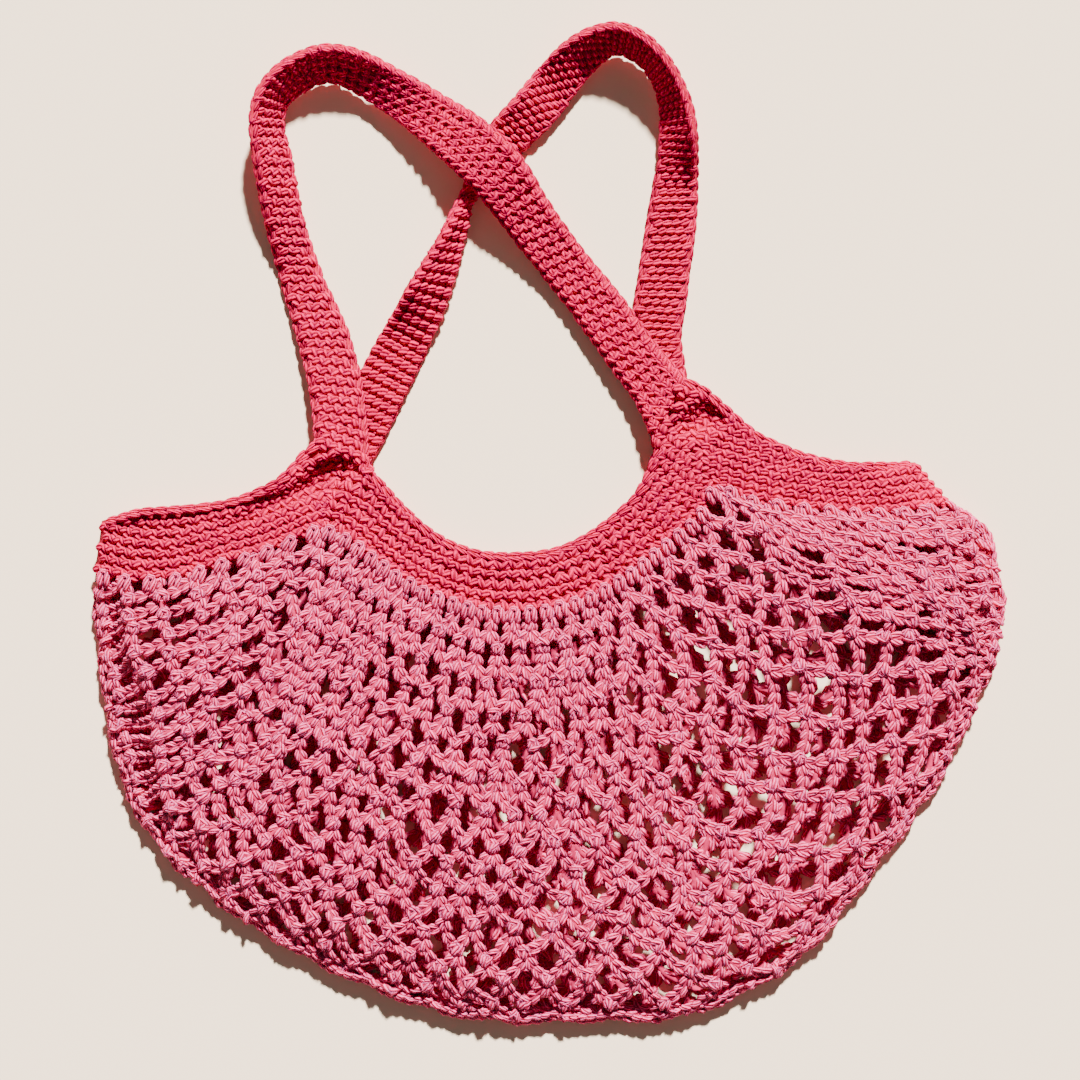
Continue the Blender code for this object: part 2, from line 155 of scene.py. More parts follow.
# The front net's fan.  Columns: net column, then x, y at a third, at two
# thirds and at the whole of the way down.  Ends beyond the outline turn under.
FAN = (
    (0, -499, -112, -549, -182, -599, -257), (3.5, -389, -127, -444, -207, -499, -287),
    (7, -277, -112, -336, -214, -397, -314), (10, -224, -147, -269, -272, -305, -392),
    (13, -166, -177, -191, -310, -211, -445), (16, -91, -210, -101, -347, -109, -484),
    (19, -14, -217, -8, -357, -1, -494), (22, 69, -200, 106, -342, 142, -484),
    (25, 146, -157, 209, -284, 269, -413), (28, 206, -102, 283, -200, 359, -298),
    (31, 251, -44, 341, -114, 426, -177), (35, 371, -32, 441, -72, 513, -112),
    (39, 466, -2, 536, -27, 606, -52),
)
# Which fan column each net column hangs from, region by region.
COLUMN_PLACES = ((0, 0), (24, 24), (29, 31), (37, 39))
# The rim station that each fan column hangs from.
FAN_STATIONS = ((0, 0), (7, 7), (31, 25), (39, 32))
NET_COLUMNS = 37
NET_ROWS = 14


def hermite(t: float) -> tuple[float, float, float, float]:
    """Return a smooth curve's weights: start, leaving, end and arriving."""
    return 2 * t**3 - 3 * t**2 + 1, t**3 - 2 * t**2 + t, 3 * t**2 - 2 * t**3, t**3 - t**2


def smooth_row(rows: Table, place: float) -> list[float]:
    """Read a table at a place, on a smooth curve through its rows.

    Args:
        rows: The table; each row's first value is its place.
        place: Where to read it.

    Returns:
        The other columns' values there.
    """
    last = len(rows) - 1
    index = 0
    while index < last - 1 and rows[index + 1][0] <= place:
        index += 1
    before, start = rows[max(index - 1, 0)], rows[index]
    end, after = rows[index + 1], rows[min(index + 2, last)]
    span = end[0] - start[0]
    at_start, leaving, at_end, arriving = hermite((place - start[0]) / span)
    values = []
    for column in range(1, len(start)):
        leave = (end[column] - before[column]) / (end[0] - before[0]) * span
        arrive = (after[column] - start[column]) / (after[0] - start[0]) * span
        values.append(at_start * start[column] + leaving * leave + at_end * end[column] + arriving * arrive)
    return values


def straight_row(rows: Table, place: float) -> float:
    """Read a table of two columns on straight lines between its rows.

    Args:
        rows: The table; each row's first value is its place.
        place: Where to read it, not past the last row.

    Returns:
        The second column's value there.
    """
    index = next(i for i, row in enumerate(rows[1:]) if place <= row[0])
    (low, first), (high, last) = rows[index], rows[index + 1]
    return first + (place - low) * (last - first) / (high - low)


def plan(x: float, y: float) -> Vector:
    """Return a plan point as a flat vector in metres."""
    return Vector((x - PLAN_MIDDLE[0], y - PLAN_MIDDLE[1], 0.0)) * PLAN_UNIT


POUCH_CENTRE = plan(*OUTLINE_CENTRE)


def outline_radius(angle_deg: float) -> float:
    """Return the radius of the pouch's outline, less its outer thickness."""
    bounded = min(max(angle_deg, OUTLINE[0][0]), OUTLINE[-1][0])
    return smooth_row(OUTLINE, bounded)[0] * PLAN_UNIT - CLOTH_HALF


def signed_inside(point: Vector) -> float:
    """Return how far a flat point lies inside the outline.

    Args:
        point: The flat point.

    Returns:
        The distance in metres, negative outside.
    """
    offset = point - POUCH_CENTRE
    angle_deg = math.degrees(math.atan2(offset.y, offset.x)) % 360.0
    if angle_deg < 90.0:
        angle_deg += 360.0
    return outline_radius(angle_deg) - Vector((offset.x, offset.y)).length


def bulge_height(point: Vector) -> float:
    """Return how much the front layer's soft bulges raise a flat point.

    Args:
        point: The flat point.

    Returns:
        The height in metres.
    """
    height = 0.0
    for x, y, radius, edge, rise in BULGES:
        distance = (point - plan(x, y)).length / PLAN_UNIT
        height += rise / (1.0 + math.exp((distance - radius) / (edge / 4.0)))
    return height


def hollow_depth(point: Vector) -> float:
    """Return how far the band's hollows lower a flat point.

    Args:
        point: The flat point.

    Returns:
        The depth in metres, negative on a ridge.
    """
    depth = 0.0
    for x, y, half_length, half_width, turn_deg, deepest in HOLLOWS:
        offset = (point - plan(x, y)) / PLAN_UNIT
        turn = math.radians(turn_deg)
        along = (offset.x * math.cos(turn) + offset.y * math.sin(turn)) / half_length
        across = (offset.y * math.cos(turn) - offset.x * math.sin(turn)) / half_width
        depth += deepest * math.exp(-((along**2 + across**2) ** 2))
    return depth


def front_fall(full: float, inside: float) -> float:
    """Return a front height that falls from its full value to the fold's."""
    return FOLD_Z + (full - FOLD_Z) * (1.0 - math.exp(-((inside / FOLD_REACH) ** 2)))


def front_height(point: Vector, down: float, inside: float) -> float:
    """Return the height of the front layer's middle.

    Args:
        point: The flat point.
        down: 0 at the rim and 1 at the outline.
        inside: How far in from the fold.

    Returns:
        The height in metres.
    """
    arch = max(math.sin(math.pi * min(max(down, 0.0), 1.0)), 0.0)
    return front_fall(MOUTH_Z + CROWN * arch**0.8 + bulge_height(point) * arch**0.5, inside)


def back_height(inside: float) -> float:
    """Return the height of the back layer's middle."""
    return BACK_Z + (FOLD_Z - BACK_Z) * math.exp(-((inside / BACK_REACH) ** 2))


def rim_points(station: float) -> tuple[Vector, Vector]:
    """Return the flat points of the rim's lower and upper edges."""
    lower_x, lower_y, upper_x, upper_y = smooth_row(RIM_SECTIONS, station)
    return plan(lower_x, lower_y), plan(upper_x, upper_y)


def rim_height(station: float, front: bool) -> float:
    """Return the height of the rim's middle.

    Args:
        station: The rim station.
        front: Whether it is the front layer's.

    Returns:
        The height in metres.
    """
    near = 0 if station * 2 <= STATIONS else STATIONS
    inside = (rim_points(station)[0] - rim_points(near)[0]).length
    return front_fall(MOUTH_Z, inside) if front else back_height(inside)


class StitchKind(Enum):
    """The shapes that the bag's yarn makes."""

    CHAIN = "chain"
    KNOT = "knot"
    HOOK = "hook"
    POST = "post"
    FLOWER = "flower"
    EDGE = "edge"
    RIDGE = "ridge"
    SEED = "seed"
    BUMP = "bump"


@dataclass(frozen=True)
class Leg:
    """One plump leg of yarn in a stitch, in plan units.

    Local x runs along the guide, y to its left and z out of the cloth.
    """

    start: tuple[float, float, float]
    end: tuple[float, float, float]
    bow: tuple[float, float, float] = (0.0, 0.0, 1.5)
    thick: float = 5.4


STITCHES: dict[StitchKind, tuple[Leg, ...]] = {
    StitchKind.CHAIN: (
        Leg((-8.0, 0.2, -1.6), (5.2, 4.4, -0.8), (-0.4, 2.6, 4.2), 6.2),
        Leg((-8.0, -0.2, -1.6), (5.2, -4.4, -0.8), (-0.4, -2.6, 4.2), 6.2),
    ),
    StitchKind.KNOT: (
        Leg((-7.6, -5.2, -2.4), (5.6, -2.6, -1.2), (-0.4, -2.2, 4.4), 5.4),
        Leg((-6.8, 2.2, -1.4), (7.4, -2.4, -1.0), (0.0, 0.0, 5.8), 7.2),
        Leg((-6.2, 5.0, -2.4), (7.4, 3.6, -1.8), (-0.4, 2.4, 4.4), 5.2),
    ),
    StitchKind.HOOK: (
        Leg((-3.6, -3.4, 1.4), (-3.6, 3.4, 1.4), (-9.4, 0.0, 2.4), 6.0),
        Leg((-8.0, -2.9, 1.2), (9.0, -3.0, 0.2), (0.0, -1.0, 3.0), 6.8),
        Leg((-8.0, 2.9, 1.2), (9.0, 3.0, 0.2), (0.0, 1.0, 3.0), 6.8),
    ),
    StitchKind.POST: (
        Leg((-7.2, 5.2, -3.2), (1.8, -4.8, -1.8), (-1.0, 1.4, 4.0), 8.6),
        Leg((7.2, 5.2, -3.2), (0.2, -5.2, -1.6), (1.4, 1.2, 4.2), 8.4),
        Leg((0.6, -4.6, -2.4), (9.4, -1.6, -2.8), (0.0, -1.2, 2.8), 7.0),
    ),
    StitchKind.FLOWER: (
        Leg((-6.8, -4.0, -2.8), (1.4, 2.6, -1.2), (-0.6, 1.2, 3.6), 8.0),
        Leg((-0.8, 3.0, -1.4), (6.6, -3.8, -2.8), (0.8, 1.0, 3.6), 7.8),
        Leg((-1.0, 0.6, -1.4), (1.2, -8.2, -2.8), (-0.8, 0.0, 4.0), 7.6),
    ),
    StitchKind.EDGE: (
        Leg((-8.8, 1.2, -1.4), (8.4, 3.0, -1.6), (0.4, 1.2, 2.4), 5.6),
        Leg((-8.8, -1.2, -1.4), (8.4, -3.0, -1.6), (0.4, -1.2, 2.4), 5.6),
    ),
    StitchKind.RIDGE: (
        Leg((-4.2, -3.8, -2.0), (3.8, 3.8, -1.8), (-0.2, 0.4, 4.6), 10.0),
        Leg((-2.6, -5.2, -2.8), (4.6, -3.8, -2.6), (0.0, -0.4, 2.6), 7.0),
    ),
    StitchKind.SEED: (
        Leg((-5.0, -2.6, -2.0), (4.8, 2.6, -1.8), (-0.2, 0.6, 3.6), 8.0),
    ),
    StitchKind.BUMP: (
        Leg((-7.2, -3.0, -2.6), (0.8, 3.4, -1.6), (-1.0, 1.6, 4.2), 9.0),
        Leg((-0.4, 3.6, -1.8), (7.0, -2.8, -2.6), (0.8, 1.4, 4.2), 8.6),
        Leg((-3.2, -3.6, -2.6), (4.0, -4.6, -2.8), (0.0, -0.8, 3.6), 7.6),
    ),
}


@dataclass(frozen=True)
class LegShape:
    """How finely a leg of yarn is made."""

    sides: int
    rings: tuple[tuple[float, float], ...]


FINE_LEG = LegShape(6, ((0.08, 0.64), (0.32, 0.97), (0.68, 0.97), (0.92, 0.64)))
PLAIN_LEG = LegShape(4, ((0.25, 0.96), (0.75, 0.96)))


def stitch_object(kind: StitchKind, shape: LegShape) -> Item:
    """Build the pattern mesh of one stitch, with its yarn coordinates.

    Args:
        kind: Which stitch.
        shape: How finely its legs are made.

    Returns:
        An unlinked object that the stitch trees instance.
    """
    vertices: list[Vector] = []
    faces: list[tuple[int, ...]] = []
    uvs: list[tuple[float, float]] = []
    sides = shape.sides
    for leg in STITCHES[kind]:
        start, end = Vector(leg.start), Vector(leg.end)
        middle = (start + end) / 2 + Vector(leg.bow)
        first = len(vertices)
        vertices.append(start * PLAN_UNIT)
        for place, swell in shape.rings:
            centre = start * (1 - place) ** 2 + middle * 2 * place * (1 - place) + end * place**2
            along = (middle - start) * (1 - place) + (end - middle) * place
            side = along.cross(UP).normalized()
            out = side.cross(along).normalized()
            for turn in range(sides):
                angle = 2 * math.pi * turn / sides
                spot = centre + (side * math.cos(angle) + out * math.sin(angle)) * (leg.thick / 2 * swell)
                vertices.append(spot * PLAN_UNIT)
        last = len(vertices)
        vertices.append(end * PLAN_UNIT)
        reach = (end - start).length
        places = [place * reach for place, _swell in shape.rings]
        for turn in range(sides):
            following = (turn + 1) % sides
            v0, v1 = turn / sides, (turn + 1) / sides
            faces.append((first, first + 1 + following, first + 1 + turn))
            uvs += [(0.0, (v0 + v1) / 2), (places[0], v1), (places[0], v0)]
            for ring, (u0, u1) in enumerate(zip(places, places[1:])):
                low = first + 1 + ring * sides
                faces.append((low + turn, low + following, low + sides + following, low + sides + turn))
                uvs += [(u0, v0), (u0, v1), (u1, v1), (u1, v0)]
            faces.append((last - sides + turn, last - sides + following, last))
            uvs += [(places[-1], v0), (places[-1], v1), (reach, (v0 + v1) / 2)]
    mesh = bpy.data.meshes.new(f"stitch_{kind.value}")
    mesh.from_pydata([tuple(v) for v in vertices], [], faces)
    mesh.uv_layers.new(name="yarn").data.foreach_set("uv", [value for pair in uvs for value in pair])
    mesh.polygons.foreach_set("use_smooth", [True] * len(mesh.polygons))
    mesh.update()
    return bpy.data.objects.new(mesh.name, mesh)


@dataclass
class Guide:
    """A line on the cloth that stitches follow, with the way out of the cloth."""

    points: list[Vector]
    ups: list[Vector]


@dataclass
class StitchRun:
    """Guides that one kind of stitch follows at one pitch."""

    kind: StitchKind
    guides: list[Guide]
    pitch: float
    roll: float = 0.25
    yaw: float = 0.10
    spread: float = 0.06
    size: float = 1.0
    shape: LegShape = FINE_LEG


class Graph:
    """A node tree that is being wired.

    Attributes:
        tree: The tree.
        ids: The identifiers of its group's sockets, by label.
    """

    # Where a mix node of colours has its two colours and its result.
    MIX_LOW, MIX_HIGH, MIX_RESULT = 6, 7, 2

    def __init__(self, tree: bpy.types.NodeTree, inputs: Kinds = (), outputs: Kinds = ()) -> None:
        """Give the tree its group's sockets, if it is a group.

        Args:
            tree: The tree.
            inputs: The label and the kind of each input.
            outputs: The same for each output.
        """
        self.tree = tree
        self.ids: dict[str, str] = {}
        for in_out, sockets in (("INPUT", inputs), ("OUTPUT", outputs)):
            for label, kind in sockets:
                name = f"NodeSocket{kind}"
                socket = tree.interface.new_socket(name=label, in_out=in_out, socket_type=name)
                self.ids[label] = socket.identifier

    def feed(self, node: Node, feeds: Feeds) -> None:
        """Link outputs to a node's inputs, or give the inputs values.

        Args:
            node: The node.
            feeds: What each input gets, by its name or place.
        """
        for key, value in feeds.items():
            if isinstance(key, int):
                socket = node.inputs[key]
            else:
                socket = max((s for s in node.inputs if s.name == key), key=lambda s: s.enabled)
            if isinstance(value, Socket):
                self.tree.links.new(value, socket)
            else:
                socket.default_value = value

    def add(self, kind: str, feeds: Feeds | None = None, **settings: object) -> Node:
        """Add one node.

        Args:
            kind: The node's type.
            feeds: What each input gets, by its name or place.
            **settings: The node's other settings.

        Returns:
            The node.
        """
        node = self.tree.nodes.new(kind)
        for name, value in settings.items():
            setattr(node, name, value)
        self.feed(node, feeds or {})
        return node

    def calc(self, operation: str, first: Socket, second: Socket | float = 0.0) -> Socket:
        """Return the output of one sum."""
        return self.add("ShaderNodeMath", {0: first, 1: second}, operation=operation).outputs[0]

    def mix(self, share: Socket, low: Socket | Colour, high: Colour) -> Socket:
        """Return the output of a mix of two colours."""
        low = low if isinstance(low, Socket) else (*low, 1.0)
        feeds = {0: share, self.MIX_LOW: low, self.MIX_HIGH: (*high, 1.0)}
        return self.add("ShaderNodeMix", feeds, data_type="RGBA").outputs[self.MIX_RESULT]

    def hand_over(self, geometry: Socket, yarn: Socket) -> None:
        """Make a geometry real, dress it and let it out of the group."""
        real = self.add("GeometryNodeRealizeInstances", {0: geometry})
        dressed = self.add("GeometryNodeSetMaterial", {"Geometry": real.outputs[0], "Material": yarn})
        self.add("NodeGroupOutput", {0: dressed.outputs[0]})


class StitchTree(Graph):
    """The Geometry Nodes tree that lays stitches along guides."""

    FLOATS = tuple((label, "Float") for label in ("Pitch", "Roll", "Yaw", "Spread", "Size"))
    INPUTS = (("Guides", "Geometry"), ("Stitch", "Object"), *FLOATS, ("Seed", "Int"), ("Yarn", "Material"))

    def __init__(self, spaced: bool) -> None:
        """Build the tree.

        Args:
            spaced: Whether stitches are spaced along curves, or stand on the
                guides' own points, headed by their "along" attribute.
        """
        name = "stitches_along_guides" if spaced else "stitches_on_points"
        tree = bpy.data.node_groups.new(name, "GeometryNodeTree")
        super().__init__(tree, self.INPUTS, (("Stitches", "Geometry"),))
        self.entry = self.add("NodeGroupInput").outputs
        points = self.entry["Guides"]
        if spaced:
            curve = self.add("GeometryNodeMeshToCurve", {0: points})
            feeds = {"Curve": curve.outputs[0], "Length": self.entry["Pitch"]}
            points = self.add("GeometryNodeResampleCurve", feeds, mode="LENGTH").outputs[0]
            heading = self.add("GeometryNodeInputTangent").outputs[0]
        else:
            heading = self._attribute("along")
        feeds = {0: heading, 1: self._attribute("up")}
        axes = self.add("FunctionNodeAxesToRotation", feeds, primary_axis="X", secondary_axis="Z")
        feeds = {"X": self._both_ways("Roll", 1), "Z": self._both_ways("Yaw", 2)}
        tilt = self.add("ShaderNodeCombineXYZ", feeds)
        turn = self.add("FunctionNodeEulerToRotation", {0: tilt.outputs[0]})
        feeds = {0: axes.outputs[0], 1: turn.outputs[0]}
        rotate = self.add("FunctionNodeRotateRotation", feeds, rotation_space="LOCAL")
        feeds = {"As Instance": True, "Object": self.entry["Stitch"]}
        info = self.add("GeometryNodeObjectInfo", feeds, transform_space="ORIGINAL")
        feeds = {
            "Points": points,
            "Instance": info.outputs["Geometry"],
            "Rotation": rotate.outputs[0],
            "Scale": self.calc("ADD", self.entry["Size"], self._both_ways("Spread", 3)),
        }
        place = self.add("GeometryNodeInstanceOnPoints", feeds)
        feeds = {"Geometry": place.outputs[0], "Name": "tint", "Value": self._random(0.0, 1.0, 4)}
        store = self.add("GeometryNodeStoreNamedAttribute", feeds, data_type="FLOAT", domain="INSTANCE")
        self.hand_over(store.outputs[0], self.entry["Yarn"])

    def _random(self, low: Socket | float, high: Socket | float, step: int) -> Socket:
        """Return a random value's output.

        Args:
            low: The least value.
            high: The greatest value.
            step: What is added to the tree's seed.

        Returns:
            The output.
        """
        feeds = {"Min": low, "Max": high, "Seed": self.calc("ADD", self.entry["Seed"], step)}
        node = self.add("FunctionNodeRandomValue", feeds, data_type="FLOAT")
        return next(s for s in node.outputs if s.enabled)

    def _both_ways(self, label: str, step: int) -> Socket:
        """Return a random value from minus to plus one of the tree's inputs."""
        value = self.entry[label]
        return self._random(self.calc("MULTIPLY", value, -1.0), value, step)

    def _attribute(self, name: str) -> Socket:
        """Return the output that reads a vector attribute."""
        node = self.add("GeometryNodeInputNamedAttribute", {"Name": name}, data_type="FLOAT_VECTOR")
        return next(s for s in node.outputs if s.name == "Attribute" and s.enabled)


class CordTree(Graph):
    """The Geometry Nodes tree that makes plain cords along guides."""

    INPUTS = (("Guides", "Geometry"), ("Radius", "Float"), ("Yarn", "Material"))
    SIDES = 4

    def __init__(self) -> None:
        """Build the tree."""
        tree = bpy.data.node_groups.new("cords_along_guides", "GeometryNodeTree")
        super().__init__(tree, self.INPUTS, (("Cords", "Geometry"),))
        entry = self.add("NodeGroupInput").outputs
        curve = self.add("GeometryNodeMeshToCurve", {0: entry["Guides"]})
        feeds = {"Resolution": self.SIDES, "Radius": entry["Radius"]}
        circle = self.add("GeometryNodeCurvePrimitiveCircle", feeds)
        feeds = {"Curve": curve.outputs[0], "Profile Curve": circle.outputs[0], "Fill Caps": True}
        self.hand_over(self.add("GeometryNodeCurveToMesh", feeds).outputs[0], entry["Yarn"])


class Workshop:
    """Turns guides into finished pieces through the node trees."""

    def __init__(self) -> None:
        """Build the trees once."""
        self.spaced = StitchTree(True)
        self.standing = StitchTree(False)
        self.cords = CordTree()
        self.patterns: dict[tuple[StitchKind, LegShape], Item] = {}

    def _pattern(self, kind: StitchKind, shape: LegShape) -> Item:
        """Return the pattern object of a stitch, made once."""
        if (kind, shape) not in self.patterns:
            self.patterns[kind, shape] = stitch_object(kind, shape)
        return self.patterns[kind, shape]

    @staticmethod
    def _guide_object(guides: list[Guide], standing: bool) -> Item:
        """Return an object whose mesh holds the guides and their attributes.

        Args:
            guides: The guides; a standing one has its point and then a
                second one that it heads to.
            standing: Whether only each guide's first point is kept.

        Returns:
            The linked object.
        """
        points, edges, ups, alongs = [], [], [], []
        for guide in guides:
            if standing:
                points.append(guide.points[0])
                ups.append(guide.ups[0])
                alongs.append((guide.points[1] - guide.points[0]).normalized())
                continue
            first = len(points)
            points += guide.points
            ups += guide.ups
            edges += [(first + i, first + i + 1) for i in range(len(guide.points) - 1)]
        mesh = bpy.data.meshes.new("guides")
        mesh.from_pydata([tuple(p) for p in points], edges, [])
        for name, values in (("up", ups), ("along", alongs)):
            if values:
                layer = mesh.attributes.new(name, "FLOAT_VECTOR", "POINT")
                layer.data.foreach_set("vector", [c for value in values for c in value])
        item = bpy.data.objects.new("guides", mesh)
        bpy.context.collection.objects.link(item)
        return item

    def _run(self, graph: Graph, guides: list[Guide], values: dict[str, object]) -> Mesh:
        """Send guides through a node tree.

        Args:
            graph: The tree.
            guides: The guides.
            values: What the tree's inputs get, by label.

        Returns:
            The mesh that comes out.
        """
        item = self._guide_object(guides, graph is self.standing)
        nodes = item.modifiers.new("yarn", "NODES")
        nodes.node_group = graph.tree
        for label, value in values.items():
            nodes[graph.ids[label]] = value
        depsgraph = bpy.context.evaluated_depsgraph_get()
        mesh = bpy.data.meshes.new_from_object(
            item.evaluated_get(depsgraph), preserve_all_data_layers=True, depsgraph=depsgraph
        )
        source = item.data
        bpy.data.objects.remove(item, do_unlink=True)
        bpy.data.meshes.remove(source)
        return mesh

    def stitch(self, run: StitchRun, yarn: Material, seed: int) -> Mesh:
        """Lay one run of stitches.

        Args:
            run: The stitches and their guides.
            yarn: Their material.
            seed: The seed of their unevenness.

        Returns:
            One plain mesh.
        """
        values = {
            "Stitch": self._pattern(run.kind, run.shape),
            "Pitch": run.pitch,
            "Roll": run.roll,
            "Yaw": run.yaw,
            "Spread": run.spread,
            "Size": run.size,
            "Seed": seed,
            "Yarn": yarn,
        }
        return self._run(self.spaced if run.pitch > 0.0 else self.standing, run.guides, values)

    def cord_mesh(self, guides: list[Guide], radius: float, yarn: Material) -> Mesh:
        """Make plain closed cords along guides, as one plain mesh."""
        return self._run(self.cords, guides, {"Radius": radius, "Yarn": yarn})

    def piece(self, name: str, meshes: list[Mesh]) -> Item:
        """Join meshes into one named piece that rides on the root body.

        Args:
            name: The piece's name.
            meshes: What it is made of.

        Returns:
            The linked object.
        """
        parts = [bpy.data.objects.new(name, mesh) for mesh in meshes]
        for part in parts:
            bpy.context.collection.objects.link(part)
        piece = parts[0]
        if len(parts) > 1:
            with bpy.context.temp_override(
                active_object=piece, object=piece, selected_objects=parts, selected_editable_objects=parts
            ):
                bpy.ops.object.join()
        piece.name = name
        piece.data.name = name
        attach(piece, "root")
        LOG.info("%s: %d triangles", name, sum(len(p.vertices) - 2 for p in piece.data.polygons))
        return piece

    def stitched(self, name: str, runs: list[StitchRun], yarn: Material, seed: int) -> Item:
        """Make one piece of several runs, each with the seed after the last."""
        return self.piece(name, [self.stitch(run, yarn, seed + place) for place, run in enumerate(runs)])


def new_material(name: str) -> tuple[Material, Graph, Node]:
    """Return a new material, its tree and its shader."""
    material = bpy.data.materials.new(name)
    material.use_nodes = True
    return material, Graph(material.node_tree), material.node_tree.nodes["Principled BSDF"]


@dataclass(frozen=True)
class YarnFinish:
    """Twisted cotton yarn of one colour, with a painted highlight on the plies' tops and painted shade in
    the gaps between them.

    Attributes:
        name: The material's name.
        base: The colour on the plies.
        pale: The painted highlight on the plies' tops, flecked with fibre noise, and the tint of the sheen
            and the specular.
        deep: The painted shade in the grooves between the plies.
        plies: How many plies the yarn has.
        twist: How many turns they make in a plan unit of a leg.
        rough: How rough the yarn is.
        scatter: How much light passes under its surface.
        stitch_shades: The darkest and the lightest shade of single stitches.
        bump: How strongly and how deep the plies are pressed in.
    """

    name: str
    base: Colour
    pale: Colour
    deep: Colour
    plies: float = 6.0
    twist: float = 0.11
    rough: float = 0.82
    scatter: float = 0.4
    stitch_shades: tuple[float, float] = (0.86, 1.10)
    bump: tuple[float, float] = (0.85, 0.0009)

    def material(self, ply_group: bpy.types.NodeTree) -> Material:
        """Build the finish.

        Args:
            ply_group: The shared effect of twisted plies.

        Returns:
            The material.
        """
        material, graph, shader = new_material(self.name)
        feeds = {
            "Plies": self.plies,
            "Twist": self.twist,
            "Yarn": graph.add("ShaderNodeUVMap", uv_map="yarn").outputs["UV"],
            "Place": graph.add("ShaderNodeTexCoord").outputs["Object"],
        }
        effect = graph.add("ShaderNodeGroup", feeds, node_tree=ply_group)
        # Painted shade: the deep colour laid in the grooves between the plies.
        ply = graph.mix(effect.outputs["Ply"], self.deep, self.base)
        # Painted highlight: the pale colour laid on the plies' tops.
        lift = graph.mix(effect.outputs["Fuzz"], ply, self.pale)
        tint = graph.add("ShaderNodeAttribute", attribute_name="tint").outputs["Fac"]
        darkest, lightest = self.stitch_shades
        shade = graph.add("ShaderNodeMapRange", {"Value": tint, "To Min": darkest, "To Max": lightest})
        feeds = {0: lift, "Scale": shade.outputs[0]}
        # The colour with its painted highlight and painted shade, scaled by each stitch's random tone.
        toned_with_painted_light = graph.add("ShaderNodeVectorMath", feeds, operation="SCALE")
        strength, distance = self.bump
        feeds = {"Strength": strength, "Distance": distance, "Height": effect.outputs["Height"]}
        bump = graph.add("ShaderNodeBump", feeds)
        feeds = {
            "Base Color": toned_with_painted_light.outputs[0],
            "Normal": bump.outputs[0],
            "Roughness": self.rough,
            "Sheen Weight": 0.05,
            "Sheen Roughness": 0.5,
            "Sheen Tint": (*self.pale, 1.0),
            "Specular IOR Level": 0.12,
            "Specular Tint": (*self.pale, 1.0),
            "Subsurface Weight": self.scatter,
            "Subsurface Radius": (1.0, 0.25, 0.35),
            "Subsurface Scale": 0.0016,
        }
        graph.feed(shader, feeds)
        return material


@dataclass(frozen=True)
class CoreFinish:
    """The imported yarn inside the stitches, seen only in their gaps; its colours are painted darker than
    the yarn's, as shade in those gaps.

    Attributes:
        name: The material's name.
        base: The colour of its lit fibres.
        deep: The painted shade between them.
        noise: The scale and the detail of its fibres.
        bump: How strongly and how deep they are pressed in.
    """

    name: str
    base: Colour
    deep: Colour
    noise: tuple[float, float] = (420.0, 3.0)
    bump: tuple[float, float] = (0.6, 0.0008)

    def material(self) -> Material:
        """Build the finish.

        Returns:
            The material.
        """
        material, graph, shader = new_material(self.name)
        place = graph.add("ShaderNodeTexCoord").outputs["Object"]
        scale, detail = self.noise
        noise = graph.add("ShaderNodeTexNoise", {"Vector": place, "Scale": scale, "Detail": detail})
        strength, distance = self.bump
        feeds = {"Strength": strength, "Distance": distance, "Height": noise.outputs[0]}
        bump = graph.add("ShaderNodeBump", feeds)
        feeds = {
            "Base Color": graph.mix(noise.outputs[0], self.deep, self.base),
            "Normal": bump.outputs[0],
            "Roughness": 0.9,
            "Specular IOR Level": 0.2,
        }
        graph.feed(shader, feeds)
        return material


# Each yarn: its own colour, then its painted highlight on the plies' tops, then its painted shade between
# the plies.
PINK_YARN = YarnFinish("pink_yarn", (0.94, 0.065, 0.23), (1.0, 0.23, 0.46), (0.46, 0.008, 0.060))
CORAL_YARN = YarnFinish("coral_yarn", (0.69, 0.002, 0.078), (0.79, 0.010, 0.13), (0.37, 0.001, 0.032))
# The cores' colours are darker than the yarn's: painted shade for the stitches' gaps.
PINK_CORE = CoreFinish("pink_core", (0.54, 0.018, 0.10), (0.34, 0.008, 0.05))
CORAL_CORE = CoreFinish("coral_core", (0.55, 0.002, 0.045), (0.34, 0.001, 0.024))


def ply_effect() -> bpy.types.NodeTree:
    """Build the shared effect of twisted plies on a leg of yarn.

    Returns:
        A shader group that reads the yarn coordinates and gives the ply mask,
        the mask of the painted highlight on the plies' tops and the height.
    """
    inputs = (("Yarn", "Vector"), ("Place", "Vector"), ("Plies", "Float"), ("Twist", "Float"))
    outputs = (("Ply", "Float"), ("Fuzz", "Float"), ("Height", "Float"))
    graph = Graph(bpy.data.node_groups.new("twisted_plies", "ShaderNodeTree"), inputs, outputs)
    calc, entry = graph.calc, graph.add("NodeGroupInput").outputs
    split = graph.add("ShaderNodeSeparateXYZ", {0: entry["Yarn"]}).outputs
    feeds = {"Vector": entry["Place"], "Scale": 900.0, "Detail": 2.0}
    noise = graph.add("ShaderNodeTexNoise", feeds).outputs[0]
    around = calc("MULTIPLY", split["Y"], entry["Plies"])
    along = calc("MULTIPLY", split["X"], entry["Twist"])
    waver = calc("MULTIPLY", noise, 0.35)
    phase = calc("ADD", calc("ADD", around, along), waver)
    wave = calc("SINE", calc("MULTIPLY", phase, 2 * math.pi))
    ridge = calc("ADD", calc("MULTIPLY", wave, 0.5), 0.5)
    ply = calc("POWER", ridge, 0.9)
    # Mask of the painted highlight: the plies' tops, flecked with fibre noise.
    painted_highlight = calc("MULTIPLY", calc("POWER", ridge, 2.5), noise)
    graph.add("NodeGroupOutput", {"Ply": ply, "Fuzz": painted_highlight, "Height": calc("ADD", ply, waver)})
    return graph.tree


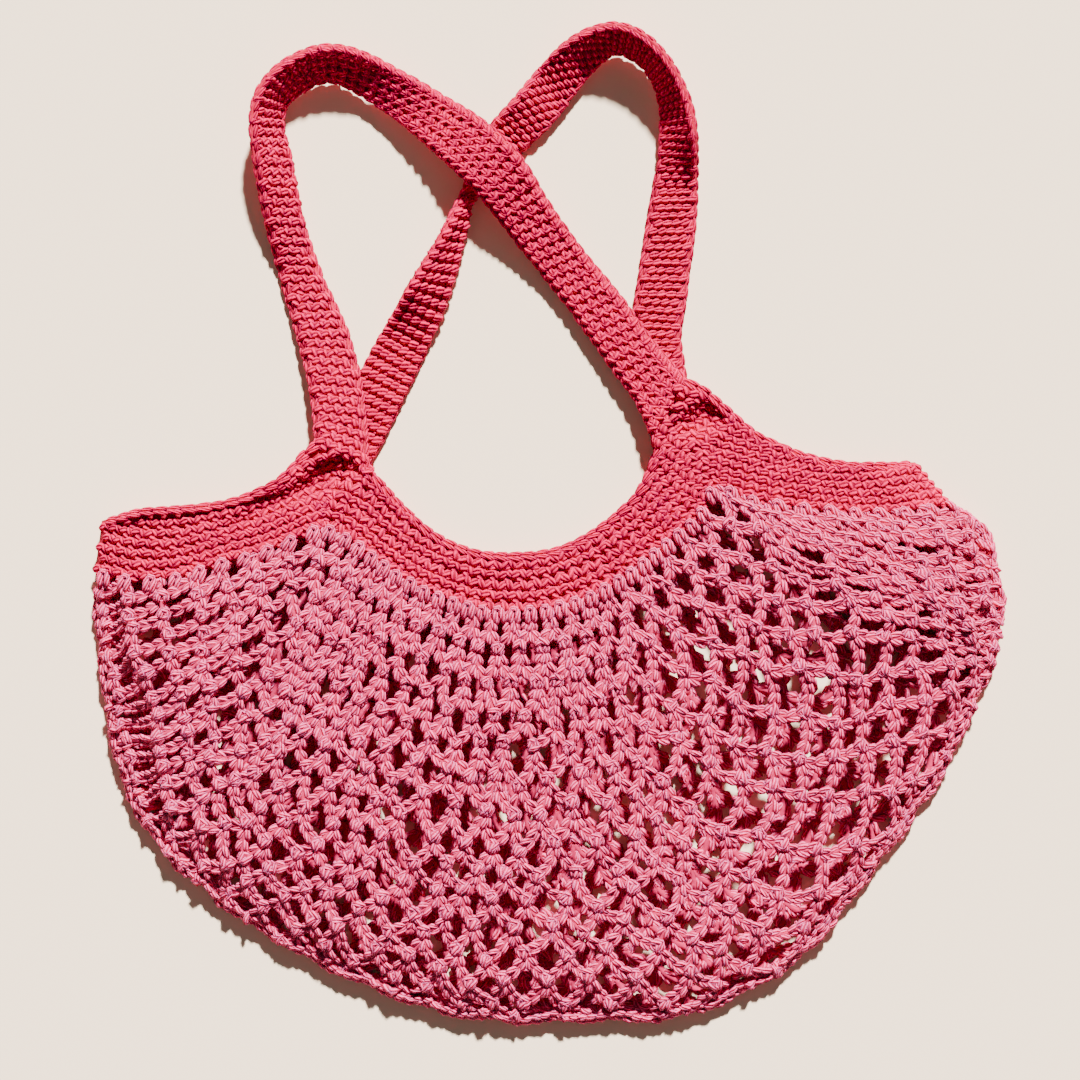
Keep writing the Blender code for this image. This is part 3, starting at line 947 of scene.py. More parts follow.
class Yarns:
    """The bag's finishes, made once."""

    def __init__(self) -> None:
        """Build each finish."""
        group = ply_effect()
        self.pink = PINK_YARN.material(group)
        self.coral = CORAL_YARN.material(group)
        self.pink_core = PINK_CORE.material()
        self.coral_core = CORAL_CORE.material()


@dataclass
class Knot:
    """A knot of the net: its place, its way out, down and along the row."""

    spot: Vector
    up: Vector
    down: Vector
    across: Vector
    inside: float


@dataclass(frozen=True)
class EdgeCord:
    """One scalloped cord along the fold.

    Attributes:
        turn: How far its scallops are shifted, in scallops.
        inset: How far in it runs, in plan units.
        height: How far over the fold's middle it runs.
        bump: How far its scallops stand out, in plan units.
    """

    turn: float
    inset: float
    height: float
    bump: float


EDGE_CORDS = (
    EdgeCord(0.0, 3.6, 0.0, 6.0),
    EdgeCord(0.5, 9.0, -0.0022, -4.0),
    EdgeCord(0.25, 5.0, -0.0010, -3.0),
)
# The hooks' stations: the first one, the step and the count of each stretch.
HOOKS = ((7.3, 17.4 / 28, 29), (0.3, 0.72, 10), (25.6, 0.72, 9))
# The pieces that each layer is split into, with their ends in plan units.
FRONT_PARTS = (("left", -900, -150), ("middle", -150, 130), ("right", 130, 900))
BACK_PARTS = (("left", -900, 0), ("right", 0, 900))


def within(guides: list[Guide], index: int, left: float, right: float) -> list[Guide]:
    """Return the guides that have one of their points between two plan places."""
    low, high = plan(left, 0).x, plan(right, 0).x
    return [guide for guide in guides if low <= guide.points[index].x < high]


@dataclass
class Crochet:
    """A part of the bag that is worked in yarn.

    Attributes:
        shop: Where its stitches are made.
        yarns: The bag's finishes.
    """

    shop: Workshop
    yarns: Yarns


@dataclass
class NetPouch(Crochet):
    """The chain-stitch net of both layers.

    Attributes:
        chain_pitch: The length of one chain stitch.
        taper: How much deeper the rows are at the rim than on the whole.
        stray: How far a knot strays in plan, in plan units.
        drift: How far the net is pulled about over some cells, in plan units.
        sway: How far a cord bows to one side at random, in plan units.
        lift: How far a knot strays in height.
        calm_rows: How many rows below the rim stray less.
        past_fold: How far the front's cords run on past the fold, in plan units.
        knots_past_fold: The same for its knots.
        back_inside: How far inside the fold the back's cords end, in plan units.
        back_knots_inside: The same for its knots.
        fold_turn: How near the fold the cords turn outward.
        core_radius: The radius of the yarn inside the front's chains.
        back_core_radius: The radius of the yarn inside the back's chains.
        back_rise: The least height of all the cords over the back's middle.
        back_size: How much thicker the slack back layer's cords lie.
        knotted_row: The first row whose knots show.
        knot_sink: How far down the net a knot's stitch lies from its crossing.
        knot_rise: How far a knot's stitch stands out.
        rim_lift: How high the cords stand over the layer's middle at the rim.
        hook_sink: How far below the band's edge a hook's middle lies.
        arch_start: The share of a cord that its first knot covers.
        arch_heave: How much lower a cord starts than it ends.
        leave: How strongly a cord leaves its first knot downward and sideways.
        arrive: How strongly it arrives at its arch's bottom the same two ways.
        edge_ends: The angles where the cords along the fold end, in degrees.
        edge_steps: How many pieces their guides have.
        scallops: How many scallops they have.
        scallop_dip: How much lower a scallop's top runs than its ends.
        seeds: The seeds of the front's and the back's stray, and of the sway.
        flat_size: The pouch worked flat: all round, and deep; not used.
        flat_area: The area that its cords cover when it is flat; not used.
    """

    chain_pitch: float = 0.0047
    taper: float = 0.24
    stray: float = 3.6
    drift: float = 7.0
    sway: float = 2.6
    lift: float = 0.0009
    calm_rows: float = 3.0
    past_fold: float = 26.0
    knots_past_fold: float = 20.0
    back_inside: float = 4.0
    back_knots_inside: float = 6.0
    fold_turn: float = 0.006
    core_radius: float = 0.0012
    back_core_radius: float = 0.0021
    back_rise: float = 0.0018
    back_size: float = 1.34
    knotted_row: int = 5
    knot_sink: float = 0.0008
    knot_rise: float = 0.0004
    rim_lift: float = 0.0022
    hook_sink: float = 0.0014
    arch_start: float = 0.09
    arch_heave: float = 0.0010
    leave: tuple[float, float] = (0.95, 0.2)
    arrive: tuple[float, float] = (0.15, 1.5)
    edge_ends: tuple[float, float] = (180.5, 368.5)
    edge_steps: int = 620
    scallops: int = 23
    scallop_dip: float = 0.0010
    seeds: tuple[int, int, int] = (11, 12, 17)
    flat_size: tuple[float, float] = (0.92, 0.24)
    flat_area: float = 0.125

    @staticmethod
    def _flat_point(column: float, share: float) -> Vector:
        """Return a flat point of the fan.

        Args:
            column: The net column.
            share: How far down, from 0 at the rim.

        Returns:
            The flat point, which may lie beyond the outline.
        """
        place = straight_row(COLUMN_PLACES, column)
        lower, _upper = rim_points(straight_row(FAN_STATIONS, place))
        x1, y1, x2, y2, x3, y3 = smooth_row(FAN, place)
        start = (lower.x / PLAN_UNIT + PLAN_MIDDLE[0], lower.y / PLAN_UNIT + PLAN_MIDDLE[1])
        rows = ((0.0, *start), (1 / 3, x1, y1), (2 / 3, x2, y2), (1.0, x3, y3))
        return plan(*smooth_row(rows, share))

    def _knot(self, column: float, row: float, front: bool, rng: random.Random) -> Knot:
        """Return one knot on the pouch.

        Args:
            column: The net column.
            row: The half row, from 0 at the rim.
            front: Whether it is on the front layer.
            rng: The source of its stray.

        Returns:
            The knot.
        """
        part = row / NET_ROWS
        share = part * (1.0 + self.taper - self.taper * part)
        flat = self._flat_point(column, share)
        down = (self._flat_point(column, share + 0.02) - flat).normalized()
        right = self._flat_point(min(column + 0.3, NET_COLUMNS), share)
        left = self._flat_point(max(column - 0.3, 0), share)
        fade = min(1.0, row / self.calm_rows)
        reach = self.stray * PLAN_UNIT * fade
        flat = flat + Vector((rng.uniform(-reach, reach), rng.uniform(-reach, reach), 0.0))
        flat = flat + self._drift(flat, front) * fade
        spot, up = self._on_pouch(flat, share, front)
        spot.z += rng.uniform(-self.lift, self.lift) * min(1.0, row / 2)
        if front:
            spot.z += self.rim_lift * math.exp(-row / self.calm_rows)
        spot.z = max(spot.z, BACK_Z + self.back_rise)
        return Knot(spot, up, down, (right - left).normalized(), signed_inside(flat))

    def _drift(self, flat: Vector, front: bool) -> Vector:
        """Return the slow uneven shift of the net at a flat point.

        Args:
            flat: The flat point.
            front: Whether it is on the front layer.

        Returns:
            The shift, from waves whose lengths in plan units never fall in step.
        """
        x, y = flat.x / PLAN_UNIT, flat.y / PLAN_UNIT
        turn = 0.0 if front else 2.3
        across = math.sin(x / 21 + 1.7 * math.sin(y / 37 + turn)) + math.sin(y / 17 + x / 53 + turn)
        along = math.sin(y / 23 + 1.3 * math.sin(x / 31 - turn)) + math.sin(x / 15 - y / 47 + turn)
        return Vector((across, along, 0.0)) * self.drift * PLAN_UNIT / 2

    def _on_pouch(self, flat: Vector, share: float, front: bool) -> tuple[Vector, Vector]:
        """Return a flat point's place on the pouch, folded under past the outline.

        Args:
            flat: The flat point.
            share: How far down it is.
            front: Whether it starts on the front layer.

        Returns:
            The point and the way out of the pouch there.
        """
        inside = signed_inside(flat)
        outward = (flat - POUCH_CENTRE).normalized()
        on_front = (inside >= 0.0) == front
        if inside < 0.0:
            flat = flat + outward * 2 * inside
        height = front_height(flat, share, abs(inside)) if on_front else back_height(abs(inside))
        fold = math.exp(-((inside / self.fold_turn) ** 2))
        up = ((UP if on_front else -UP) * (1.0 - fold) + outward * fold).normalized()
        return Vector((flat.x, flat.y, height)), up

    def _half_arch(self, top: Knot, low: Knot, rightward: float, sway: float, steps: int = 6) -> Guide:
        """Return the cord from a knot down to the bottom of its arch.

        Args:
            top: Where it starts.
            low: The arch's lowest point.
            rightward: 1 where the arch goes to the right, else -1.
            sway: How far its middle bows to one side, in plan units.
            steps: How many pieces the guide has.

        Returns:
            The guide.
        """
        span = low.spot - top.spot
        reach, wide = span.length, abs(span.dot(low.across))
        leave = top.down * reach * self.leave[0] + top.across * rightward * wide * self.leave[1]
        arrive = low.across * rightward * wide * self.arrive[1] + low.down * reach * self.arrive[0]
        points, ups = [], []
        for step in range(steps + 1):
            t = self.arch_start + (1.0 - self.arch_start) * step / steps
            at_start, leaving, at_end, arriving = hermite(t)
            up = top.up.lerp(low.up, t)
            point = top.spot * at_start + leave * leaving + low.spot * at_end + arrive * arriving
            point += up * self.arch_heave * (t - 0.5)
            points.append(point + top.across * sway * PLAN_UNIT * math.sin(math.pi * t))
            ups.append(up.normalized())
        return Guide(points, ups)

    def _lattice(self, front: bool, shift: float, seed: int) -> dict[tuple[int, int], Knot]:
        """Return the knots of one layer by half column and half row.

        Args:
            front: Whether it is the front layer.
            shift: How far the columns are shifted.
            seed: The seed of their stray.

        Returns:
            The knots.
        """
        rng = random.Random(seed)
        knots = {}
        for row in range(NET_ROWS + 1):
            for half in range(row % 2, 2 * NET_COLUMNS + 1, 2):
                column = min(max(half / 2 + shift, 0.0), NET_COLUMNS)
                knots[half, row] = self._knot(column, row, front, rng)
        return knots

    def _cords(self, knots: dict[tuple[int, int], Knot], keep: float) -> list[Guide]:
        """Return both cords of every arch that is kept.

        Args:
            knots: The layer's knots.
            keep: The least place inside the outline of a kept cord's middle,
                in plan units.

        Returns:
            The guides.
        """
        guides = []
        rng = random.Random(self.seeds[2])
        for (half, row), knot in knots.items():
            for turn in (1, -1):
                sway = rng.uniform(-self.sway, self.sway)
                low = knots.get((half + turn, row + 1))
                if low and (knot.inside + low.inside) / 2 >= keep * PLAN_UNIT:
                    guides.append(self._half_arch(knot, low, turn, sway))
        return guides

    def _knot_guides(self, knots: dict[tuple[int, int], Knot], keep: float) -> list[Guide]:
        """Return standing guides of the knots that are kept.

        Args:
            knots: The layer's knots.
            keep: The least place inside the outline of a kept knot, in plan
                units.

        Returns:
            The guides.
        """
        guides = []
        for (_half, row), knot in knots.items():
            if row >= self.knotted_row and knot.inside >= keep * PLAN_UNIT:
                spot = knot.spot + knot.down * self.knot_sink + knot.up * self.knot_rise
                guides.append(Guide([spot, spot + knot.down * HEADING], [knot.up]))
        return guides

    def _hooks(self) -> list[Guide]:
        """Return standing guides of the loops that hook over the rim's edge."""
        guides = []
        for station in (first + i * step for first, step, count in HOOKS for i in range(count)):
            lower, upper = rim_points(station)
            down = (lower - upper).normalized()
            height = rim_height(station, True) + CLOTH_HALF * 1.2
            spot = Vector((lower.x, lower.y, height)) + down * self.hook_sink
            guides.append(Guide([spot, spot + down * HEADING], [UP]))
        return guides

    def _edge_cord(self, cord: EdgeCord) -> Guide:
        """Return the guide of one scalloped cord along the fold.

        Args:
            cord: How it runs.

        Returns:
            The guide.
        """
        points, ups = [], []
        first, last = self.edge_ends
        for step in range(self.edge_steps + 1):
            angle_deg = first + (last - first) * step / self.edge_steps
            angle = math.radians(angle_deg)
            arm = Vector((math.cos(angle), math.sin(angle), 0.0))
            wave = abs(math.sin(math.pi * (step / self.edge_steps * self.scallops + cord.turn)))
            reach = (cord.bump * (wave - 0.6) - cord.inset) * PLAN_UNIT + CLOTH_HALF
            edge = POUCH_CENTRE + arm * (outline_radius(angle_deg) + reach)
            points.append(edge + UP * (FOLD_Z + cord.height - self.scallop_dip * wave))
            ups.append((arm + UP * 0.6).normalized())
        return Guide(points, ups)

    def build(self) -> None:
        """Build and dress the pouch's pieces."""
        pitch, size, shop, pink = self.chain_pitch, self.back_size, self.shop, self.yarns.pink
        front = self._lattice(True, 0.0, self.seeds[0])
        back = self._lattice(False, 0.5, self.seeds[1])
        front_cords, back_cords = self._cords(front, -self.past_fold), self._cords(back, self.back_inside)
        tops = self._knot_guides(front, -self.knots_past_fold)
        lows = self._knot_guides(back, self.back_knots_inside)
        for side, *ends in FRONT_PARTS:
            cords, knots = within(front_cords, 3, *ends), within(tops, 0, *ends)
            runs = [
                StitchRun(StitchKind.CHAIN, cords, pitch, roll=0.45, yaw=0.16, spread=0.10),
                StitchRun(StitchKind.KNOT, knots, 0.0, roll=0.30, yaw=0.35, spread=0.10),
                StitchRun(StitchKind.HOOK, within(self._hooks(), 0, *ends), 0.0, roll=0.15, yaw=0.12),
            ]
            if side == "middle":
                edges = [self._edge_cord(cord) for cord in EDGE_CORDS]
                runs.append(StitchRun(StitchKind.CHAIN, edges, pitch, roll=0.5, yaw=0.16))
            shop.stitched(f"net_front_{side}", runs, pink, 21)
        for side, *ends in BACK_PARTS:
            cords, knots = within(back_cords, 3, *ends), within(lows, 0, *ends)
            slack = {"size": size, "shape": PLAIN_LEG}
            runs = [
                StitchRun(StitchKind.CHAIN, cords, pitch * size, roll=0.5, yaw=0.15, **slack),
                StitchRun(StitchKind.KNOT, knots, 0.0, yaw=0.3, **slack),
            ]
            shop.stitched(f"net_back_{side}", runs, pink, 25)
        inner = [
            shop.cord_mesh([Guide(g.points[::2], g.ups[::2]) for g in cords], radius, self.yarns.pink_core)
            for cords, radius in ((front_cords, self.core_radius), (back_cords, self.back_core_radius))
        ]
        core = shop.piece("net_core", inner)
        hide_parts("net_body")


def section_mesh(name: str, sections: list[list[Vector]], closed: bool, yarn: Material) -> Mesh:
    """Skin a row of equal sections into one closed mesh.

    Args:
        name: The mesh's name.
        sections: The rings of points.
        closed: Whether the last ring meets the first.
        yarn: The material.

    Returns:
        The mesh, with its faces out.
    """
    size, count = len(sections[0]), len(sections)
    vertices = [tuple(p) for ring in sections for p in ring]
    faces: list[tuple[int, ...]] = []
    for ring in range(count if closed else count - 1):
        here, there = ring * size, (ring + 1) % count * size
        for side in range(size):
            beside = (side + 1) % size
            faces.append((here + side, there + side, there + beside, here + beside))
    if not closed:
        faces.append(tuple(range(size)))
        faces.append(tuple((count - 1) * size + side for side in reversed(range(size))))
    mesh = bpy.data.meshes.new(name)
    mesh.from_pydata(vertices, [], faces)
    mesh.polygons.foreach_set("use_smooth", [True] * len(mesh.polygons))
    mesh.materials.append(yarn)
    mesh.update()
    return mesh


@dataclass
class RimBand(Crochet):
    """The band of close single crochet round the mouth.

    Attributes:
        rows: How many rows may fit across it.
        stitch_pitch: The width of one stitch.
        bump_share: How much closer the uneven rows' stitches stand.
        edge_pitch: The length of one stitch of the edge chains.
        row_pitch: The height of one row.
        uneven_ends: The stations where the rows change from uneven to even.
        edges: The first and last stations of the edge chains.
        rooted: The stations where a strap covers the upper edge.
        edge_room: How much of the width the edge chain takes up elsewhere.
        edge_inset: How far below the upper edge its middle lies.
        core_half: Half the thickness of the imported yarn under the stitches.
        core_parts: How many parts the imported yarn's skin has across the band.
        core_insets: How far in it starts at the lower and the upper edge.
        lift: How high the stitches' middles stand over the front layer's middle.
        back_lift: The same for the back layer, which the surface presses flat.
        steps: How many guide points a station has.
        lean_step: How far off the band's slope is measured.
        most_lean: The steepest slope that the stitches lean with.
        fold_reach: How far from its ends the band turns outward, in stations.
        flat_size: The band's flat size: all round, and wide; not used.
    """

    rows: int = 12
    stitch_pitch: float = 0.0070
    bump_share: float = 0.93
    edge_pitch: float = 0.0067
    row_pitch: float = 0.0053
    uneven_ends: tuple[float, ...] = (0.2, 6.8, 22.6, 31.8)
    edges: tuple[tuple[float, float], ...] = ((0.3, 6.0), (8.0, 24.0), (26.0, 31.7))
    rooted: tuple[tuple[float, float], ...] = ((6.0, 8.0), (24.0, 26.0))
    edge_room: float = 0.0050
    edge_inset: float = 0.0030
    core_half: float = 0.0009
    core_parts: int = 7
    core_insets: tuple[float, float] = (0.0008, 0.0015)
    lift: float = 0.0019
    back_lift: float = 0.0004
    steps: int = 4
    lean_step: float = 0.0015
    most_lean: float = 0.6
    fold_reach: float = 0.3
    flat_size: tuple[float, float] = (0.94, 0.036)

    def _core_sections(self) -> list[list[Vector]]:
        """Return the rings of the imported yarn's skin."""
        ring = [(i / self.steps, True) for i in range(STATIONS * self.steps + 1)]
        ring += [(i / self.steps, False) for i in range(STATIONS * self.steps - 1, 0, -1)]
        sections = []
        for station, front in ring:
            lower, upper = rim_points(station)
            across = (upper - lower).normalized()
            height = UP * rim_height(station, front)
            near = lower + across * self.core_insets[0] + height
            far = upper - across * self.core_insets[1] + height
            middles = [near.lerp(far, part / self.core_parts) for part in range(self.core_parts + 1)]
            if front:
                middles = [middle - UP * hollow_depth(Vector((*middle.xy, 0.0))) for middle in middles]
            lift = self._out(station, front) * self.core_half
            over, under = [m + lift for m in middles], [m - lift for m in reversed(middles)]
            sections.append(over + under)
        return sections

    def _out(self, station: float, front: bool) -> Vector:
        """Return the way out of the pouch at a rim station.

        Args:
            station: The rim station.
            front: Whether it is on the front layer.

        Returns:
            The direction, which turns outward at both of the band's ends.
        """
        end = min(station, STATIONS - station)
        fold = math.exp(-((end / self.fold_reach) ** 2))
        side = Vector((-1.0, 0.0, 0.0)) if station * 2 < STATIONS else Vector((0.8, 0.6, 0.0))
        return ((UP if front else -UP) * (1.0 - fold) + side * fold).normalized()

    def _row(self, distance: float, front: bool, reach: tuple[float, float], shift: float) -> list[Guide]:
        """Return the guides of one row at a distance from the lower edge.

        Args:
            distance: How far up the band.
            front: Whether it is the front layer.
            reach: The first and last station of the row.
            shift: How far the row's stitches are shifted, in stitches.

        Returns:
            Guides, broken where the band is too narrow for the row.
        """
        guides: list[Guide] = []
        points: list[Vector] = []
        ups: list[Vector] = []
        first, last = reach
        steps = max(2, round((last - first) * self.steps))
        lift = self.lift if front else self.back_lift
        for index in range(steps + 1):
            station = first + (last - first) * index / steps
            lower, upper = rim_points(station)
            width = (upper - lower).length
            covered = any(low <= station <= high for low, high in self.rooted)
            room = width if covered else width - self.edge_room
            if distance < room:
                across = (upper - lower) / width
                out = self._out(station, front)
                spot = lower + across * distance
                sunk = UP * hollow_depth(spot) if front else Vector()
                points.append(spot + UP * rim_height(station, front) + out * lift - sunk)
                ups.append(self._leaned(spot, across, out) if front else out)
            if (distance >= room or index == steps) and points:
                if len(points) > 3:
                    guides.append(Guide(points, ups))
                points, ups = [], []
        for guide in guides:
            ahead = (guide.points[1] - guide.points[0]).normalized()
            guide.points[0] = guide.points[0] + ahead * self.stitch_pitch * shift
        return guides

    def _leaned(self, spot: Vector, across: Vector, out: Vector) -> Vector:
        """Return the way out of the front layer where a hollow or ridge leans it.

        Args:
            spot: The flat point.
            across: The way to the band's upper edge.
            out: The way out of the pouch.

        Returns:
            The leaned direction.
        """
        step = across * self.lean_step
        slope = (hollow_depth(spot + step) - hollow_depth(spot - step)) / (2 * self.lean_step)
        return (out + across * min(max(slope, -self.most_lean), self.most_lean)).normalized()

    def _edge(self, front: bool, first: float, last: float) -> Guide:
        """Return the guide of the upper edge's chain between two stations.

        Args:
            front: Whether it is on the front layer.
            first: The station where it starts.
            last: The station where it ends.

        Returns:
            The guide.
        """
        points, ups = [], []
        count = int((last - first) * self.steps) + 1
        lift = self.lift if front else self.back_lift
        for index in range(count + 1):
            station = first + (last - first) * index / count
            lower, upper = rim_points(station)
            across = (upper - lower).normalized()
            out = self._out(station, front)
            spot = upper - across * self.edge_inset
            ridge = UP * max(-hollow_depth(spot), 0.0) if front else Vector()
            points.append(spot + UP * rim_height(station, front) + out * lift + ridge)
            ups.append((out + across * 0.7).normalized())
        return Guide(points, ups)

    def build(self) -> None:
        """Build and dress the band's pieces."""
        pitch = self.stitch_pitch
        start, left, right, end = self.uneven_ends
        layers = ((True, "rim_front_stitches", FINE_LEG), (False, "rim_back_stitches", PLAIN_LEG))
        for front, name, shape in layers:
            posts: list[Guide] = []
            bumps: list[Guide] = []
            for row in range(self.rows):
                distance, shift = (row + 0.55) * self.row_pitch, 0.5 * (row % 2)
                bumps += self._row(distance, front, (start, left), shift)
                middle = bumps if row % 2 else posts
                middle += self._row(distance, front, (left, right), shift)
                bumps += self._row(distance, front, (right, end), shift)
            edges = [self._edge(front, *ends) for ends in self.edges]
            close = {"roll": 0.18, "yaw": 0.24, "spread": 0.10, "shape": shape}
            runs = [
                StitchRun(StitchKind.POST, posts, pitch, **close),
                StitchRun(StitchKind.BUMP, bumps, pitch * self.bump_share, **close),
                StitchRun(StitchKind.EDGE, edges, self.edge_pitch, roll=0.12, yaw=0.08, shape=shape),
            ]
            self.shop.stitched(name, runs, self.yarns.coral, 31)
        skin = section_mesh("rim_cloth", self._core_sections(), True, self.yarns.coral_core)
        core = self.shop.piece("rim_cloth", [skin])
        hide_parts("rim_band")


@dataclass(frozen=True)
class StrapPart:
    """A stretch of a strap whose rows are all worked the same way.

    Attributes:
        kind: The stitch.
        first: The table row where it starts.
        last: The table row where it ends.
        row_pitch: The length of one row.
        stitch_pitch: The width of one stitch.
        margin: How far in the end stitches' middles lie.
        stagger: How far every other row is shifted, in stitches.
        edge_inset: How far in from the edges the chains along them run.
    """

    kind: StitchKind
    first: int
    last: int
    row_pitch: float
    stitch_pitch: float
    margin: float
    stagger: float
    edge_inset: float = 0.0025


FRONT_STRAP_PARTS = (
    StrapPart(StitchKind.BUMP, 0, 10, 0.0050, 0.0060, 0.0056, 0.5),
    StrapPart(StitchKind.FLOWER, 10, 21, 0.0057, 0.0054, 0.0052, 0.0),
)
BACK_STRAP_PARTS = (
    StrapPart(StitchKind.RIDGE, 0, 9, 0.0058, 0.0043, 0.0040, 0.0, 0.0031),
    StrapPart(StitchKind.SEED, 9, 27, 0.0040, 0.0046, 0.0042, 0.5),
)


Cut = tuple[Vector, Vector, float]


@dataclass
class Strap(Crochet):
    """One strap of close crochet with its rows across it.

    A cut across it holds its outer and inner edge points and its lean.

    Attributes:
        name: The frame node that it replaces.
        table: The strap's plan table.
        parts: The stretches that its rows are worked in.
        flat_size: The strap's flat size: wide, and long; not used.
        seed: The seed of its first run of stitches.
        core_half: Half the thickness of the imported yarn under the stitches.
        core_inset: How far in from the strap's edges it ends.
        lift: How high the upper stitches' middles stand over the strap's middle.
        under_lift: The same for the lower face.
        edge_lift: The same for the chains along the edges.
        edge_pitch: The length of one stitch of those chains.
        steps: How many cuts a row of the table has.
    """

    name: str
    table: Table
    parts: tuple[StrapPart, ...]
    flat_size: tuple[float, float]
    seed: int
    core_half: float = 0.0008
    core_inset: float = 0.0016
    lift: float = 0.0016
    under_lift: float = 0.0003
    edge_lift: float = 0.0005
    edge_pitch: float = 0.0067
    steps: int = 6

    def _cuts(self) -> list[Cut]:
        """Return the cuts across the strap."""
        rows = tuple((index, *row) for index, row in enumerate(self.table))
        cuts = []
        for step in range((len(rows) - 1) * self.steps + 1):
            outer_x, outer_y, inner_x, inner_y, base, lean = smooth_row(rows, step / self.steps)
            outer, inner = plan(outer_x, outer_y), plan(inner_x, inner_y)
            flat = (outer - inner).length
            rise = math.sqrt(max(STRAP_WIDTH**2 - flat**2, 0.0)) * abs(lean)
            outer.z = base / 1000 + (rise if lean > 0 else 0.0)
            inner.z = base / 1000 + (rise if lean < 0 else 0.0)
            cuts.append((outer, inner, abs(lean)))
        return cuts

    @staticmethod
    def _up(cuts: list[Cut], index: int) -> Vector:
        """Return the way out of the strap's upper face.

        Args:
            cuts: The strap's cuts.
            index: Which cut.

        Returns:
            The direction.
        """
        ahead, behind = cuts[min(index + 1, len(cuts) - 1)], cuts[max(index - 1, 0)]
        along = ((ahead[0] + ahead[1]) - (behind[0] + behind[1])).normalized()
        outer, inner, _lean = cuts[index]
        up = (inner - outer).normalized().cross(along).normalized()
        return up if up.z >= 0 else -up

    def _core_sections(self, cuts: list[Cut]) -> list[list[Vector]]:
        """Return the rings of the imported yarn's skin, without the strap's ends.

        Args:
            cuts: The strap's cuts.

        Returns:
            The rings.
        """
        sections = []
        for index in range(1, len(cuts) - 1):
            outer, inner, _lean = cuts[index]
            across = (inner - outer).normalized() * self.core_inset
            lift = self._up(cuts, index) * self.core_half
            near, far = outer + across, inner - across
            sections.append([near + lift, near - lift, far - lift, far + lift])
        return sections

    def _rows(self, cuts: list[Cut], face: int, part: StrapPart) -> list[Guide]:
        """Return the standing guides of one part's stitches on one face.

        Args:
            cuts: The strap's cuts.
            face: 1 for the upper face and -1 for the lower one.
            part: The stretch of the strap.

        Returns:
            One guide for each stitch, row by row from the outer edge.
        """
        guides = []
        lift = self.lift if face > 0 else self.under_lift
        travelled, due, row = 0.0, part.row_pitch * 0.3, 0
        for index in range(part.first * self.steps + 1, part.last * self.steps + 1):
            (outer0, inner0, _), (outer1, inner1, _) = cuts[index - 1], cuts[index]
            step = ((outer1 + inner1) / 2 - (outer0 + inner0) / 2).length
            while travelled + step >= due:
                t = (due - travelled) / step
                outer, inner = outer0.lerp(outer1, t), inner0.lerp(inner1, t)
                up = self._up(cuts, index) * face
                width = (inner - outer).length
                across = (inner - outer) / width
                room = max(width - 2 * part.margin, 0.001)
                gaps = max(1, round(room / part.stitch_pitch))
                shift = part.stagger * (row % 2)
                for spot in range(gaps + (0 if shift else 1)):
                    reach = part.margin + room * (spot + shift) / gaps
                    point = outer + across * reach + up * lift
                    guides.append(Guide([point, point + across * HEADING], [up]))
                due += part.row_pitch
                row += 1
            travelled += step
        return guides

    def _edge(self, cuts: list[Cut], outer_side: bool) -> Guide:
        """Return the guide of the chain along one edge.

        Args:
            cuts: The strap's cuts.
            outer_side: Whether it is the outer edge.

        Returns:
            The guide.
        """
        points, ups = [], []
        for index, (outer, inner, lean) in enumerate(cuts):
            inset = next(part.edge_inset for part in self.parts if index <= part.last * self.steps)
            across = (inner - outer).normalized()
            out, edge = (-across, outer) if outer_side else (across, inner)
            up = self._up(cuts, index)
            points.append(edge - out * inset + up * self.edge_lift)
            ups.append((out * (0.45 + 0.75 * lean) + up * (1.0 - 0.8 * lean)).normalized())
        return Guide(points, ups)

    def build(self) -> None:
        """Build and dress the strap's pieces."""
        cuts = self._cuts()
        edges = [self._edge(cuts, True), self._edge(cuts, False)]
        runs = [StitchRun(StitchKind.EDGE, edges, self.edge_pitch, roll=0.10, yaw=0.05)]
        for part in self.parts:
            over, under = self._rows(cuts, 1, part), self._rows(cuts, -1, part)
            runs.append(StitchRun(part.kind, over, 0.0, roll=0.16, yaw=0.20))
            runs.append(StitchRun(part.kind, under, 0.0, roll=0.10, yaw=0.16, shape=PLAIN_LEG))
        stitches = self.shop.stitched(f"{self.name}_stitches", runs, self.yarns.coral, self.seed)
        core_name = f"{self.name}_cloth"
        skin = section_mesh(core_name, self._core_sections(cuts), False, self.yarns.coral_core)
        core = self.shop.piece(core_name, [skin])
        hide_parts(self.name)


